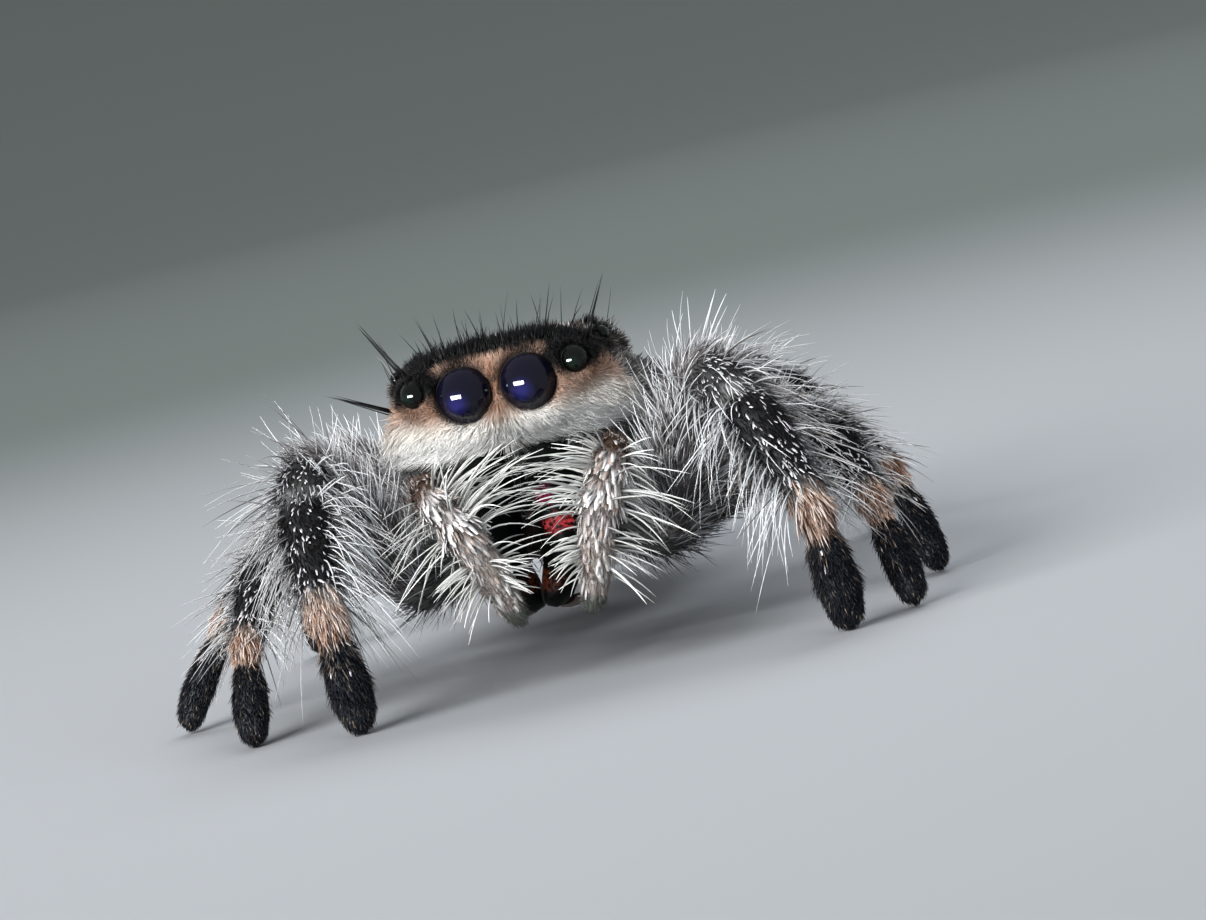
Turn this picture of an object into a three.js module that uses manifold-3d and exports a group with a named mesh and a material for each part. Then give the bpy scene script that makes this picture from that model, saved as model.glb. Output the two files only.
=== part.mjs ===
// A regal jumping spider, standing with its head held high and its front legs reaching forward.
// Millimetres, +Z up. It faces -Y and its left side is +X. Every solid includes the coat of hair.
import * as THREE from "three";
import { mergeVertices } from "three/addons/utils/BufferGeometryUtils.js";
import Module from "manifold-3d";

const wasm = await Module();
wasm.setup();

// ---- Driving dimensions -------------------------------------------------------------------

const GAP = 0.05; // the cut between neighbouring pieces
const POLE = 1e-6; // a ring this small is the end of a rounded body
const LIMB_SIDES = 9;
const UP = new THREE.Vector3(0, 0, 1);
const LEFTWARD = new THREE.Vector3(1, 0, 0);
const BACKWARD = new THREE.Vector3(0, 1, 0);
const SIDES = [
  ["left", 1],
  ["right", -1],
];

// Stations along the head shield, from the face back: place, half width, top and lower edge.
const CARAPACE = {
  front: -3.3,
  rear: 2.75,
  y: [-3.3, -2.5, -1.2, 0.2, 1.4, 2.75],
  halfWidth: [2.12, 2.35, 2.5, 2.52, 2.28, 1.6],
  top: [6.3, 6.42, 6.44, 6.22, 5.4, 4.2],
  bottom: [4.3, 4.1, 3.65, 3.5, 3.45, 3.4],
  flare: 0.13, // how much narrower the top is than the middle
};
const ABDOMEN = {
  front: 2.5,
  rear: 10.5,
  y: [2.5, 4.0, 6.4, 8.6, 10.5],
  halfWidth: [2.3, 2.75, 2.95, 2.8, 2.2],
  top: [4.5, 5.05, 5.25, 4.95, 4.1],
  bottom: [2.0, 1.4, 1.0, 1.1, 1.6],
};
const STERNUM = { centre: [0, 0, 2.75], half: [0.92, 2.0, 0.55] };
const PEDICEL = { front: 1.6, rear: 3.4, z: 3.05, radius: 0.5 };

// Lens centre on the left side and radius: front middle, front side, rear middle, rear side.
const EYES = {
  anterior_median: { at: [0.61, -3.1, 5.5], radius: 0.51, sides: 14, rings: 8 },
  anterior_lateral: { at: [1.55, -3.07, 5.71], radius: 0.28, sides: 10, rings: 6 },
  posterior_median: { at: [2.02, -1.75, 5.98], radius: 0.15, sides: 8, rings: 4 },
  posterior_lateral: { at: [1.92, -0.75, 5.9], radius: 0.29, sides: 10, rings: 6 },
};

// Middle of each jaw where it leaves the face and where its fang is hinged, and its radii between.
const CHELICERA = { top: [0.6, -2.62, 4.2], hinge: [0.66, -3.3, 2.15], radii: [0.5, 0.64, 0.5] };
const FANG = {
  root: [0.74, -3.3, 1.75],
  radius: 0.24,
  taper: [1, 0.8, 0.4],
  reach: 0.5,
  bow: 0.05,
  back: 0.22,
  curl: 0.32,
};
const ENDITE = { at: [0.5, -2.62, 2.45], half: [0.4, 0.42, 0.72] };
const LABIUM = { at: [0, -2.3, 2.5], half: [0.3, 0.35, 0.5] };
const SPINNERETS = {
  anterior: { at: [0.34, 10.2, 2.25], radius: 0.28, length: 0.75, drop: 0.12 },
  posterior: { at: [0.36, 10.2, 2.95], radius: 0.27, length: 0.6, drop: -0.25 },
};
const SPINNERET_TAPER = [1, 1, 0.75];

// Palps: joints from the mouth to the tip, which hangs in front of the jaws.
const PALPS = {
  left: {
    root: [1.25, -2.75, 2.9],
    knee: [2.05, -4.35, 4.1],
    wrist: [1.5, -4.95, 2.95],
    tip: [1.1, -4.7, 1.45],
  },
  right: {
    root: [-1.25, -2.75, 2.9],
    knee: [-1.55, -4.4, 4.1],
    wrist: [-0.82, -4.95, 2.95],
    tip: [-0.38, -4.7, 1.5],
  },
};
const PALP_RADII = { femur: [0.3, 0.4, 0.42], shank: [0.42, 0.4, 0.38], tarsus: [0.38, 0.38, 0.26] };

// Each pair of legs, from the front: where the coxa starts and where the femur hangs from it on
// the left side, the lengths of the leg's parts, and its girth beside the front leg's.
const LEG_PAIRS = [
  {
    root: [0.95, -1.5, 2.75],
    hip: [2.4, -2.4, 1.8],
    lengths: { femur: 3.6, patella: 2.0, tibia: 2.3, foot: 2.15 },
    girth: 1,
  },
  {
    root: [0.95, -0.5, 2.7],
    hip: [2.55, -0.95, 1.85],
    lengths: { femur: 3.1, patella: 1.6, tibia: 1.8, foot: 2.0 },
    girth: 0.82,
  },
  {
    root: [0.95, 0.5, 2.7],
    hip: [2.55, 0.5, 1.9],
    lengths: { femur: 2.9, patella: 1.35, tibia: 1.65, foot: 2.35 },
    girth: 0.76,
  },
  {
    root: [0.9, 1.5, 2.7],
    hip: [2.3, 1.95, 2.0],
    lengths: { femur: 3.05, patella: 1.5, tibia: 2.1, foot: 2.8 },
    girth: 0.8,
  },
];
// Radii of the front leg with its coat. The other legs are thinner by their girth.
const LEG_RADII = {
  coxa: [0.5, 0.52, 0.5],
  femur: [0.54, 0.86, 0.7],
  shin: [0.7, 0.84, 0.58],
  foot: [0.44, 0.43, 0.32],
};
const SHIN_BEND = THREE.MathUtils.degToRad(24); // between patella and tibia
const MOST_STRETCH = 0.995; // of the straight length of two joined parts
const TOE_HEIGHT = 0.7; // of the toe's middle beside its radius, so that it rests on a small flat

// Where each toe stands, how far the foot leans from upright, sideways and backwards for each unit
// of height, and how far the knee swings out of the upright plane through hip and ankle.
const STANCE = {
  left: [
    { toe: [5.56, -5.1], lean: [-0.09, -0.1], swing: -13 },
    { toe: [6.78, -4.25], lean: [-0.23, 0.23], swing: -42 },
    { toe: [7.2, -0.9], lean: [-0.33, 0.7], swing: -40 },
    { toe: [5.9, 7.2], lean: [-0.2, -0.7], swing: 10 },
  ],
  right: [
    { toe: [-3.6, -4.95], lean: [-0.05, -0.13], swing: 28 },
    { toe: [-5.85, -3.95], lean: [0, 0.8], swing: 52 },
    { toe: [-7.95, -0.5], lean: [0.69, 0.3], swing: 38 },
    { toe: [-6.4, 6.6], lean: [0.25, -0.6], swing: -12 },
  ],
};

const COATS = {
  dark: { color: 0x1b1a1b, roughness: 0.75 },
  grey: { color: 0x8d8b88, roughness: 0.85 },
  pale: { color: 0xd9d3c8, roughness: 0.9 },
  jaw: { color: 0x5e1f24, roughness: 0.35, metalness: 0.3 },
  horn: { color: 0x2a120c, roughness: 0.3 },
  lens: { color: 0x08081c, roughness: 0.05 },
};

// ---- Solids and cuts ----------------------------------------------------------------------

// A closed three.js geometry as a manifold-3d solid.
function solidOf(geometry) {
  const bare = geometry.clone();
  bare.deleteAttribute("normal");
  bare.deleteAttribute("uv");
  const merged = mergeVertices(bare);
  const mesh = new wasm.Mesh({
    numProp: 3,
    vertProperties: merged.attributes.position.array,
    triVerts: new Uint32Array(merged.index.array),
  });
  return new wasm.Manifold(mesh);
}

function geometryOf(solid) {
  const mesh = solid.getMesh();
  const geometry = new THREE.BufferGeometry();
  geometry.setAttribute("position", new THREE.BufferAttribute(mesh.vertProperties, mesh.numProp));
  geometry.setIndex(new THREE.BufferAttribute(mesh.triVerts, 1));
  geometry.computeVertexNormals();
  return geometry;
}

// Keeps the part of a solid that lies ahead of a plane through point, facing along normal.
function keepAhead(solid, point, normal) {
  const n = normal.clone().normalize();
  return solid.trimByPlane(n.toArray(), n.dot(point) + GAP / 2);
}

function without(solid, ...cutters) {
  return cutters.reduce((rest, cutter) => rest.subtract(cutter), solid);
}

const spider = new THREE.Group();

function place(name, solid, coat) {
  const mesh = new THREE.Mesh(geometryOf(solid), new THREE.MeshStandardMaterial(COATS[coat]));
  mesh.name = name;
  spider.add(mesh);
}

// ---- Rounded forms ------------------------------------------------------------------------

// The value at x on a smooth curve through (xs, values).
function smoothAt(xs, values, x) {
  const last = xs.length - 1;
  const i = Math.min(Math.max(xs.findIndex((s) => s > x) - 1, 0), last - 1);
  const k = xs[last] <= x ? last - 1 : i;
  const t = THREE.MathUtils.clamp((x - xs[k]) / (xs[k + 1] - xs[k]), 0, 1);
  const slope = (a, b) => (values[b] - values[a]) / (xs[b] - xs[a]);
  const span = xs[k + 1] - xs[k];
  const m0 = slope(Math.max(k - 1, 0), k + 1) * span;
  const m1 = slope(k, Math.min(k + 2, last)) * span;
  const t2 = t * t;
  const t3 = t2 * t;
  return (
    (2 * t3 - 3 * t2 + 1) * values[k] +
    (t3 - 2 * t2 + t) * m0 +
    (-2 * t3 + 3 * t2) * values[k + 1] +
    (t3 - t2) * m1
  );
}

const power = (value, exponent) => Math.sign(value) * Math.abs(value) ** exponent;

// A rounded body that runs along Y through stations of half width, top and bottom. blunt and
// boxy are exponents under 1 for squarer ends and squarer sections.
function stationBody(form, { sides, rings, blunt, boxy, grow = 0 }) {
  const geometry = new THREE.SphereGeometry(1, sides, rings);
  const position = geometry.attributes.position;
  const middle = (form.front + form.rear) / 2;
  const half = (form.rear - form.front) / 2 + grow;
  for (let i = 0; i < position.count; i++) {
    const p = new THREE.Vector3().fromBufferAttribute(position, i);
    const ring = Math.hypot(p.x, p.z);
    const end = p.y < 0 ? blunt[0] : blunt[1];
    const y = middle + half * power(p.y, end);
    const spread = ring < POLE ? 0 : ring ** end;
    const at = THREE.MathUtils.clamp(y, form.front, form.rear);
    const top = smoothAt(form.y, form.top, at) + grow;
    const bottom = smoothAt(form.y, form.bottom, at) - grow;
    const width = smoothAt(form.y, form.halfWidth, at) + grow;
    const across = ring < POLE ? 0 : power(p.x / ring, boxy) * spread;
    const rise = ring < POLE ? 0 : power(p.z / ring, boxy) * spread;
    const x = width * across * (1 - (form.flare ?? 0) * rise);
    position.setXYZ(i, x, y, (top + bottom) / 2 + (rise * (top - bottom)) / 2);
  }
  return solidOf(geometry);
}

function ellipsoid(at, half, { sides = 12, rings = 8, grow = 0 } = {}) {
  const geometry = new THREE.SphereGeometry(1, sides, rings);
  geometry.rotateX(Math.PI / 2);
  geometry.scale(half[0] + grow, half[1] + grow, half[2] + grow);
  geometry.translate(...at);
  return solidOf(geometry);
}

const mirrored = ([x, y, z], side) => [side * x, y, z];

// ---- Limbs --------------------------------------------------------------------------------

const between = (a, b) => new THREE.LineCurve3(a, b);

function way(a, b) {
  return b.clone().sub(a).normalize();
}

// A tapered tube along a curve, with a round cap centred on each end. radii are those at the
// start, middle and end. side is across the bend, and slim narrows the tube that way.
function limb(curve, radii, side, { slim = 0.9, grow = 0, sides = LIMB_SIDES, steps = 4 } = {}) {
  const length = curve.getLength();
  const [r0, , r1] = radii.map((r) => r + grow);
  const profile = [new THREE.Vector2(0, -r0)];
  profile.push(new THREE.Vector2(r0 * Math.SQRT1_2, -r0 * Math.SQRT1_2));
  for (let i = 0; i <= steps; i++) {
    const r = smoothAt([0, 0.5, 1], radii, i / steps) + grow;
    profile.push(new THREE.Vector2(r, (i / steps) * length));
  }
  profile.push(new THREE.Vector2(r1 * Math.SQRT1_2, length + r1 * Math.SQRT1_2));
  profile.push(new THREE.Vector2(0, length + r1));
  const geometry = new THREE.LatheGeometry(profile, sides);
  const position = geometry.attributes.position;
  for (let i = 0; i < position.count; i++) {
    const p = new THREE.Vector3().fromBufferAttribute(position, i);
    const t = THREE.MathUtils.clamp(p.y / length, 0, 1);
    const tangent = curve.getTangentAt(t);
    const back = new THREE.Vector3().crossVectors(side, tangent).normalize();
    const across = new THREE.Vector3().crossVectors(tangent, back);
    const at = curve.getPointAt(t).addScaledVector(tangent, p.y - t * length);
    at.addScaledVector(across, p.x * slim).addScaledVector(back, p.z);
    position.setXYZ(i, at.x, at.y, at.z);
  }
  return solidOf(geometry);
}

// The joint between two lengths that span from a to b, on the side that towards points to.
function elbow(a, b, lengthA, lengthB, towards) {
  const along = b.clone().sub(a);
  const span = Math.min(along.length(), MOST_STRETCH * (lengthA + lengthB));
  along.normalize();
  const x = (span * span + lengthA * lengthA - lengthB * lengthB) / (2 * span);
  const height = Math.sqrt(Math.max(lengthA * lengthA - x * x, 0));
  const out = towards.clone().addScaledVector(along, -towards.dot(along)).normalize();
  return a.clone().addScaledVector(along, x).addScaledVector(out, height);
}

// Joints of one leg, worked back from its toe: hip, knee, the bend below the knee, ankle, toe.
function legJoints(pair, stance, side) {
  const { femur, patella, tibia, foot } = pair.lengths;
  const hip = new THREE.Vector3(...mirrored(pair.hip, side));
  const toeRadius = LEG_RADII.foot.at(-1) * pair.girth;
  const toe = new THREE.Vector3(...stance.toe, TOE_HEIGHT * toeRadius);
  const lean = new THREE.Vector3(...stance.lean, 1).normalize();
  const ankle = toe.clone().addScaledVector(lean, foot);
  const shin = Math.sqrt(patella ** 2 + tibia ** 2 + 2 * patella * tibia * Math.cos(SHIN_BEND));
  const reach = way(hip, ankle);
  const upright = UP.clone().addScaledVector(reach, -UP.dot(reach)).normalize();
  const kneeWay = upright.applyAxisAngle(reach, THREE.MathUtils.degToRad(stance.swing));
  const knee = elbow(hip, ankle, femur, shin, kneeWay);
  const bend = elbow(knee, ankle, patella, tibia, knee.clone().sub(hip));
  return { hip, knee, bend, ankle, toe };
}

// Cuts two neighbouring limbs apart on the plane that halves their joint.
function parted(before, after, joint, wayIn, wayOut) {
  const normal = wayIn.clone().add(wayOut);
  return [keepAhead(before, joint, normal.clone().negate()), keepAhead(after, joint, normal)];
}

// ---- The body -----------------------------------------------------------------------------

function shield(grow = 0) {
  return stationBody(CARAPACE, { sides: 20, rings: 12, blunt: [0.36, 0.62], boxy: 0.62, grow });
}

function belly(grow = 0) {
  return stationBody(ABDOMEN, { sides: 18, rings: 12, blunt: [0.85, 0.8], boxy: 0.95, grow });
}

function breast(grow = 0) {
  return ellipsoid(STERNUM.centre, STERNUM.half, { sides: 12, rings: 6, grow });
}

function eyeball(eye, side, grow = 0) {
  const half = [eye.radius, eye.radius, eye.radius];
  return ellipsoid(mirrored(eye.at, side), half, { sides: eye.sides, rings: eye.rings, grow });
}

function chelicera(side, grow = 0) {
  const top = new THREE.Vector3(...mirrored(CHELICERA.top, side));
  const hinge = new THREE.Vector3(...mirrored(CHELICERA.hinge, side));
  return limb(between(top, hinge), CHELICERA.radii, LEFTWARD, { grow, sides: 10, steps: 5 });
}

function endite(side, grow = 0) {
  return ellipsoid(mirrored(ENDITE.at, side), ENDITE.half, { sides: 8, rings: 6, grow });
}

// Neighbours grown by the gap, to cut other pieces with.
const near = {
  shield: shield(GAP),
  belly: belly(GAP),
  breast: breast(GAP),
  jaws: [chelicera(1, GAP), chelicera(-1, GAP)],
  mouth: [endite(1, GAP), endite(-1, GAP)],
};

function buildHead() {
  const sockets = [];
  for (const [name, eye] of Object.entries(EYES)) {
    for (const [word, side] of SIDES) {
      place(`eye_${name}_${word}`, eyeball(eye, side), "lens");
      sockets.push(eyeball(eye, side, GAP));
    }
  }
  place("carapace", without(shield(), ...sockets), "pale");
}

function buildTrunk() {
  const ends = [PEDICEL.front, PEDICEL.rear].map((y) => new THREE.Vector3(0, y, PEDICEL.z));
  const waist = limb(between(...ends), Array(3).fill(PEDICEL.radius), LEFTWARD);
  place("sternum", without(breast(), near.shield), "dark");
  place("pedicel", without(waist, near.shield, near.breast, near.belly), "dark");
  place("abdomen", without(belly(), near.shield), "grey");
}

function buildSpinnerets() {
  for (const [name, form] of Object.entries(SPINNERETS)) {
    const radii = SPINNERET_TAPER.map((share) => share * form.radius);
    for (const [word, side] of SIDES) {
      const root = new THREE.Vector3(...mirrored(form.at, side));
      const tip = root.clone().add(new THREE.Vector3(0, form.length, -form.drop));
      const tube = limb(between(root, tip), radii, LEFTWARD, { sides: 8, steps: 2 });
      place(`spinneret_${name}_${word}`, without(tube, near.belly), "dark");
    }
  }
}

function buildJaws() {
  const radii = FANG.taper.map((share) => share * FANG.radius);
  const midline = new THREE.Vector3();
  for (const [word, side] of SIDES) {
    const outwards = LEFTWARD.clone().multiplyScalar(side);
    const jaw = without(chelicera(side), near.shield);
    place(`chelicera_${word}`, keepAhead(jaw, midline, outwards), "jaw");
    const root = new THREE.Vector3(...mirrored(FANG.root, side));
    const bow = root.clone().add(new THREE.Vector3(-side * FANG.bow, FANG.bow, -FANG.curl));
    const tip = root.clone().add(new THREE.Vector3(-side * FANG.reach, FANG.back, -FANG.curl));
    const fang = limb(new THREE.QuadraticBezierCurve3(root, bow, tip), radii, BACKWARD, { sides: 8 });
    place(`fang_${word}`, without(fang, ...near.jaws), "horn");
  }
}

function buildMouth() {
  const labium = ellipsoid(LABIUM.at, LABIUM.half, { sides: 8, rings: 6 });
  const plates = labium.add(endite(1)).add(endite(-1));
  place("mouthparts", without(plates, ...near.jaws, near.breast, near.shield), "dark");
}

function buildPalp(word) {
  const [root, knee, wrist, tip] = Object.values(PALPS[word]).map((at) => new THREE.Vector3(...at));
  const coarse = { sides: 8, steps: 2 };
  const upper = limb(between(root, knee), PALP_RADII.femur, LEFTWARD, coarse);
  const middle = limb(between(knee, wrist), PALP_RADII.shank, LEFTWARD, coarse);
  const end = limb(between(wrist, tip), PALP_RADII.tarsus, LEFTWARD, coarse);
  const [femur, shankTop] = parted(upper, middle, knee, way(root, knee), way(knee, wrist));
  const [shank, tarsus] = parted(shankTop, end, wrist, way(knee, wrist), way(wrist, tip));
  place(`palp_${word}_femur`, without(femur, near.shield, ...near.mouth, ...near.jaws), "grey");
  place(`palp_${word}_shank`, without(shank, ...near.jaws), "pale");
  place(`palp_${word}_tarsus`, without(tarsus, ...near.jaws), "pale");
}

// ---- Legs ---------------------------------------------------------------------------------

function buildLeg(name, pair, stance, side) {
  const { hip, knee, bend, ankle, toe } = legJoints(pair, stance, side);
  const root = new THREE.Vector3(...mirrored(pair.root, side));
  const across = new THREE.Vector3().crossVectors(way(hip, knee), UP).normalize();
  const shinCurve = new THREE.QuadraticBezierCurve3(knee, bend, ankle);
  const slender = (radii) => radii.map((radius) => radius * pair.girth);
  const tubes = {
    coxa: limb(between(root, hip), LEG_RADII.coxa, BACKWARD, { sides: 8, steps: 2 }),
    femur: limb(between(hip, knee), slender(LEG_RADII.femur), across),
    shin: limb(shinCurve, slender(LEG_RADII.shin), across),
    foot: limb(between(ankle, toe), slender(LEG_RADII.foot), across, { steps: 3 }),
  };
  const kneeTangent = shinCurve.getTangentAt(0);
  const ankleTangent = shinCurve.getTangentAt(1);
  const [coxa, femurTop] = parted(tubes.coxa, tubes.femur, hip, way(root, hip), way(hip, knee));
  const [femur, shinTop] = parted(femurTop, tubes.shin, knee, way(hip, knee), kneeTangent);
  const [shin, footTop] = parted(shinTop, tubes.foot, ankle, ankleTangent, way(ankle, toe));
  const foot = footTop.trimByPlane(UP.toArray(), 0);
  place(`${name}_coxa`, without(coxa, near.shield, near.breast), "dark");
  place(`${name}_femur`, without(femur, near.shield), "grey");
  place(`${name}_shin`, shin, "grey");
  place(`${name}_foot`, foot, "dark");
}

function buildLegs() {
  LEG_PAIRS.forEach((pair, number) => {
    for (const [word, side] of SIDES) {
      buildLeg(`leg_${number + 1}_${word}`, pair, STANCE[word][number], side);
    }
  });
}

buildHead();
buildTrunk();
buildSpinnerets();
buildJaws();
buildMouth();
for (const [word] of SIDES) {
  buildPalp(word);
}
buildLegs();

// The frame's origin is on the floor under the middle of the whole outline.
const box = new THREE.Box3().setFromObject(spider);
const centre = box.getCenter(new THREE.Vector3());
spider.position.set(-centre.x, -centre.y, -box.min.z);

const model = new THREE.Group();
model.add(spider);

export default model;
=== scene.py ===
"""A regal jumping spider, life size: one skin, its lenses, jaws, fangs and claws, and the coat of
hair over all of it. Everything is placed from the solids of the frame. The shapes are worked out
in millimetres and become metres when they are handed over as finished pieces."""

import math

import bpy
import numpy as np
from mathutils import Matrix, Vector


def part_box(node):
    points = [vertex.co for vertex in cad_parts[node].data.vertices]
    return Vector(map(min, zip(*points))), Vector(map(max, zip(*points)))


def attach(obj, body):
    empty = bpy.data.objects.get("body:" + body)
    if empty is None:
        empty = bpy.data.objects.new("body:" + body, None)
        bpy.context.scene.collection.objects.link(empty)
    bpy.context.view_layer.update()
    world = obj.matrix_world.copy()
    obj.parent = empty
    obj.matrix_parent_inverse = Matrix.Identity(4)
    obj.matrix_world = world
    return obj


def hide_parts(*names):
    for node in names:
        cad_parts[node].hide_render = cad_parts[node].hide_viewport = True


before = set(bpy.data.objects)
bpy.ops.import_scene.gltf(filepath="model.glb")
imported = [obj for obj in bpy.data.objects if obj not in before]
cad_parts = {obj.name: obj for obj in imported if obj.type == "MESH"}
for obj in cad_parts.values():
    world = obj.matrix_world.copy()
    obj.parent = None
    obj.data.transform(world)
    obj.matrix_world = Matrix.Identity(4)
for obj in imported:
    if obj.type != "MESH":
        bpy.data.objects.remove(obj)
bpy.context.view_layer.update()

MM = 0.001
UP = np.array([0.0, 0.0, 1.0])
SIDES = {"left": 1, "right": -1}
LEGS = [f"leg_{number}_{side}" for number in (1, 2, 3, 4) for side in SIDES]
PALPS = [f"palp_{side}" for side in SIDES]
EYES = ["anterior_median", "anterior_lateral", "posterior_median", "posterior_lateral"]

# Linear colours of the hair and the shell, pale to dark.
WHITE = (0.93, 0.925, 0.91)
CHALK = (0.78, 0.77, 0.77)
CREAM = (0.80, 0.74, 0.65)
FROST = (0.68, 0.68, 0.70)
LILAC = (0.60, 0.58, 0.62)
BLOSSOM = (0.68, 0.57, 0.51)
PEWTER = (0.56, 0.56, 0.58)
SILVER = (0.52, 0.53, 0.54)
ASH = (0.46, 0.42, 0.41)
TAN = (0.47, 0.31, 0.235)
RUST = (0.34, 0.175, 0.105)
TAUPE = (0.26, 0.23, 0.21)
GREY = (0.10, 0.098, 0.098)
UMBER = (0.09, 0.055, 0.04)
SEPIA = (0.025, 0.015, 0.011)
PITCH = (0.035, 0.04, 0.034)
SOOT = (0.0055, 0.0055, 0.006)
# Black of the feet, with a blue tint that is a painted sheen.
NAVY = (0.0045, 0.0055, 0.0085)

# ---- Measuring the frame ------------------------------------------------------------------

SAME_PLANE = 0.01  # how far apart the planes of one flat face may lie
SAME_WAY = 0.9995  # the least that its triangles' normals agree
OPPOSITE = 0.999  # the least that the normals of a cut's two faces are opposed
CUT_GAP = 0.2  # how far apart the two faces of one cut may lie
END_QUANTILE = 0.85  # the points counted as the far end of a limb
SPINE_STATIONS = 7


def rows_of(items, field, width, kind=np.float32):
    """One field of all the items in a mesh's list, a row for each."""
    values = np.empty(len(items) * width, kind)
    items.foreach_get(field, values)
    return values.reshape(-1, width)


def points_of(mesh):
    return rows_of(mesh.vertices, "co", 3).astype(float)


def normals_of(mesh):
    return rows_of(mesh.vertex_normals, "vector", 3).astype(float)


def triangles(node):
    """The corners of a node's triangles in millimetres, as an array of shape (count, 3, 3)."""
    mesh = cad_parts[node].data
    mesh.calc_loop_triangles()
    corners = rows_of(mesh.loop_triangles, "vertices", 3, np.int32)
    return points_of(mesh)[corners] / MM


def span(vector):
    return np.linalg.norm(vector, axis=-1)


def unit(vector):
    return vector / np.maximum(span(vector)[..., None], 1e-9)


def flats(node):
    """The flat faces of a node, each with its area, middle, normal and offset from the origin."""
    corners = triangles(node)
    cross = np.cross(corners[:, 1] - corners[:, 0], corners[:, 2] - corners[:, 0])
    areas = span(cross) / 2
    normals = unit(cross)
    offsets = (normals * corners[:, 0]).sum(1)
    left = np.ones(len(areas), bool)
    found = []
    for i in np.argsort(-areas):
        if left[i]:
            level = np.abs(offsets - offsets[i]) < SAME_PLANE
            same = left & level & (normals @ normals[i] > SAME_WAY)
            left &= ~same
            area = areas[same].sum()
            middle = areas[same] @ corners[same].mean(1) / max(area, 1e-9)
            found.append((area, middle, normals[i], offsets[i]))
    return found


def joint(node_a, node_b):
    """The middle of the cut that parts two neighbouring nodes."""
    cuts = [
        (min(area_a, area_b), tuple((middle_a + middle_b) / 2))
        for area_a, middle_a, normal_a, offset_a in flats(node_a)
        for area_b, middle_b, normal_b, offset_b in flats(node_b)
        if normal_a @ normal_b < -OPPOSITE and abs(offset_a + offset_b) < CUT_GAP
    ]
    return np.array(max(cuts)[1])


def ring(node, point, way):
    """Middle and mean radius of a node's section by the plane through point across way."""
    corners = triangles(node)
    heights = (corners - point) @ unit(way)
    crossings = []
    for a, b in ((0, 1), (1, 2), (2, 0)):
        cut = (heights[:, a] > 0) != (heights[:, b] > 0)
        share = heights[cut, a] / (heights[cut, a] - heights[cut, b])
        crossings.append(corners[cut, a] + share[:, None] * (corners[cut, b] - corners[cut, a]))
    points = np.concatenate(crossings)
    middle = (points.min(0) + points.max(0)) / 2
    return middle, span(points - middle).mean()


def box_mm(node):
    low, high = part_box(node)
    return np.array(low) / MM, np.array(high) / MM


def middle_of(node):
    low, high = box_mm(node)
    return (low + high) / 2


def far_end(node, point):
    """The end of a node that lies furthest from a point."""
    points = triangles(node).reshape(-1, 3)
    distance = span(points - point)
    return points[distance > np.quantile(distance, END_QUANTILE)].mean(0)


def toe_of(node):
    """The middle of the small flat that a foot rests on."""
    soles = [
        (area, tuple(middle))
        for area, middle, normal, offset in flats(node)
        if normal[2] < -OPPOSITE and abs(offset) < SAME_PLANE
    ]
    return np.array(max(soles)[1])


def spine(node, start, end):
    """Points along the middle of a limb's node between its joints, and its radius at each."""
    points = [start]
    radii = []
    for share in np.linspace(0, 1, SPINE_STATIONS)[1:-1]:
        middle, radius = ring(node, start + share * (end - start), end - start)
        points.append(middle)
        radii.append(radius)
    points.append(end)
    return np.array(points), np.array([radii[0], *radii, radii[-1]])


# ---- The limbs under their coat -----------------------------------------------------------

# For each kind of limb piece, the depth of its coat and the shell's own swellings and waists: a
# place along the piece, its width as a share of the length, and how much it adds or takes away.
SHELL = {
    "coxa": (0.06, (0.95, 0.1, -0.12)),
    "femur": (0.22, (0.0, 0.08, -0.2), (0.45, 0.3, 0.06), (1.0, 0.08, -0.06)),
    "shin": (0.27, (0.0, 0.08, -0.1), (0.16, 0.1, 0.06), (0.32, 0.05, -0.14), (0.97, 0.06, -0.14)),
    "foot": (0.05, (0.0, 0.1, -0.04), (0.24, 0.13, -0.32), (0.82, 0.24, 0.26), (1.0, 0.05, -0.06)),
    "palp_femur": (0.07, (0.9, 0.08, -0.1)),
    "palp_shank": (0.07, (0.2, 0.12, 0.04), (0.39, 0.07, -0.24), (0.8, 0.2, 0.08)),
    "palp_tarsus": (0.05, (0.04, 0.08, -0.2), (0.4, 0.28, 0.06), (1.0, 0.1, -0.06)),
}
THIN_LEG_COAT = 0.8  # depth of the coat on the second to fourth legs against the first
SHELL_STATIONS = 25
SPINE_ROUNDS = 6
LEAST_RADIUS = 0.12
SOLE_LIFT = 0.38  # the last ring of a foot stands back from the floor by its radius
PALP_LIFT = 0.22


def bell(value, middle, width):
    return np.exp(-(((value - middle) / width) ** 2))


class Limb:
    """One piece of a leg or palp: the line through its middle and its shell's radius there."""

    def __init__(self, node, kind, start, end):
        self.node = node
        self.kind = kind
        points, radii = spine(node, start, end)
        share = np.linspace(0, 1, len(points))
        fine = np.linspace(0, 1, SHELL_STATIONS)
        self.points = np.column_stack([np.interp(fine, share, points[:, k]) for k in range(3)])
        for _ in range(SPINE_ROUNDS):
            self.points[1:-1] = (self.points[:-2] + 2 * self.points[1:-1] + self.points[2:]) / 4
        coat, *swells = SHELL[kind]
        form = 1 + sum(gain * bell(fine, place, width) for place, width, gain in swells)
        if "leg" in node and "leg_1" not in node:
            coat *= THIN_LEG_COAT
        self.radii = np.maximum((np.interp(fine, share, radii) - coat) * form, LEAST_RADIUS)

    @property
    def way(self):
        return unit(self.points[-1] - self.points[0])


def sole_of(foot, ankle):
    toe = toe_of(foot)
    return toe + unit(ankle - toe) * SOLE_LIFT


def palp_tip(tarsus, wrist):
    tip = far_end(tarsus, wrist)
    return tip + unit(wrist - tip) * PALP_LIFT


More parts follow.
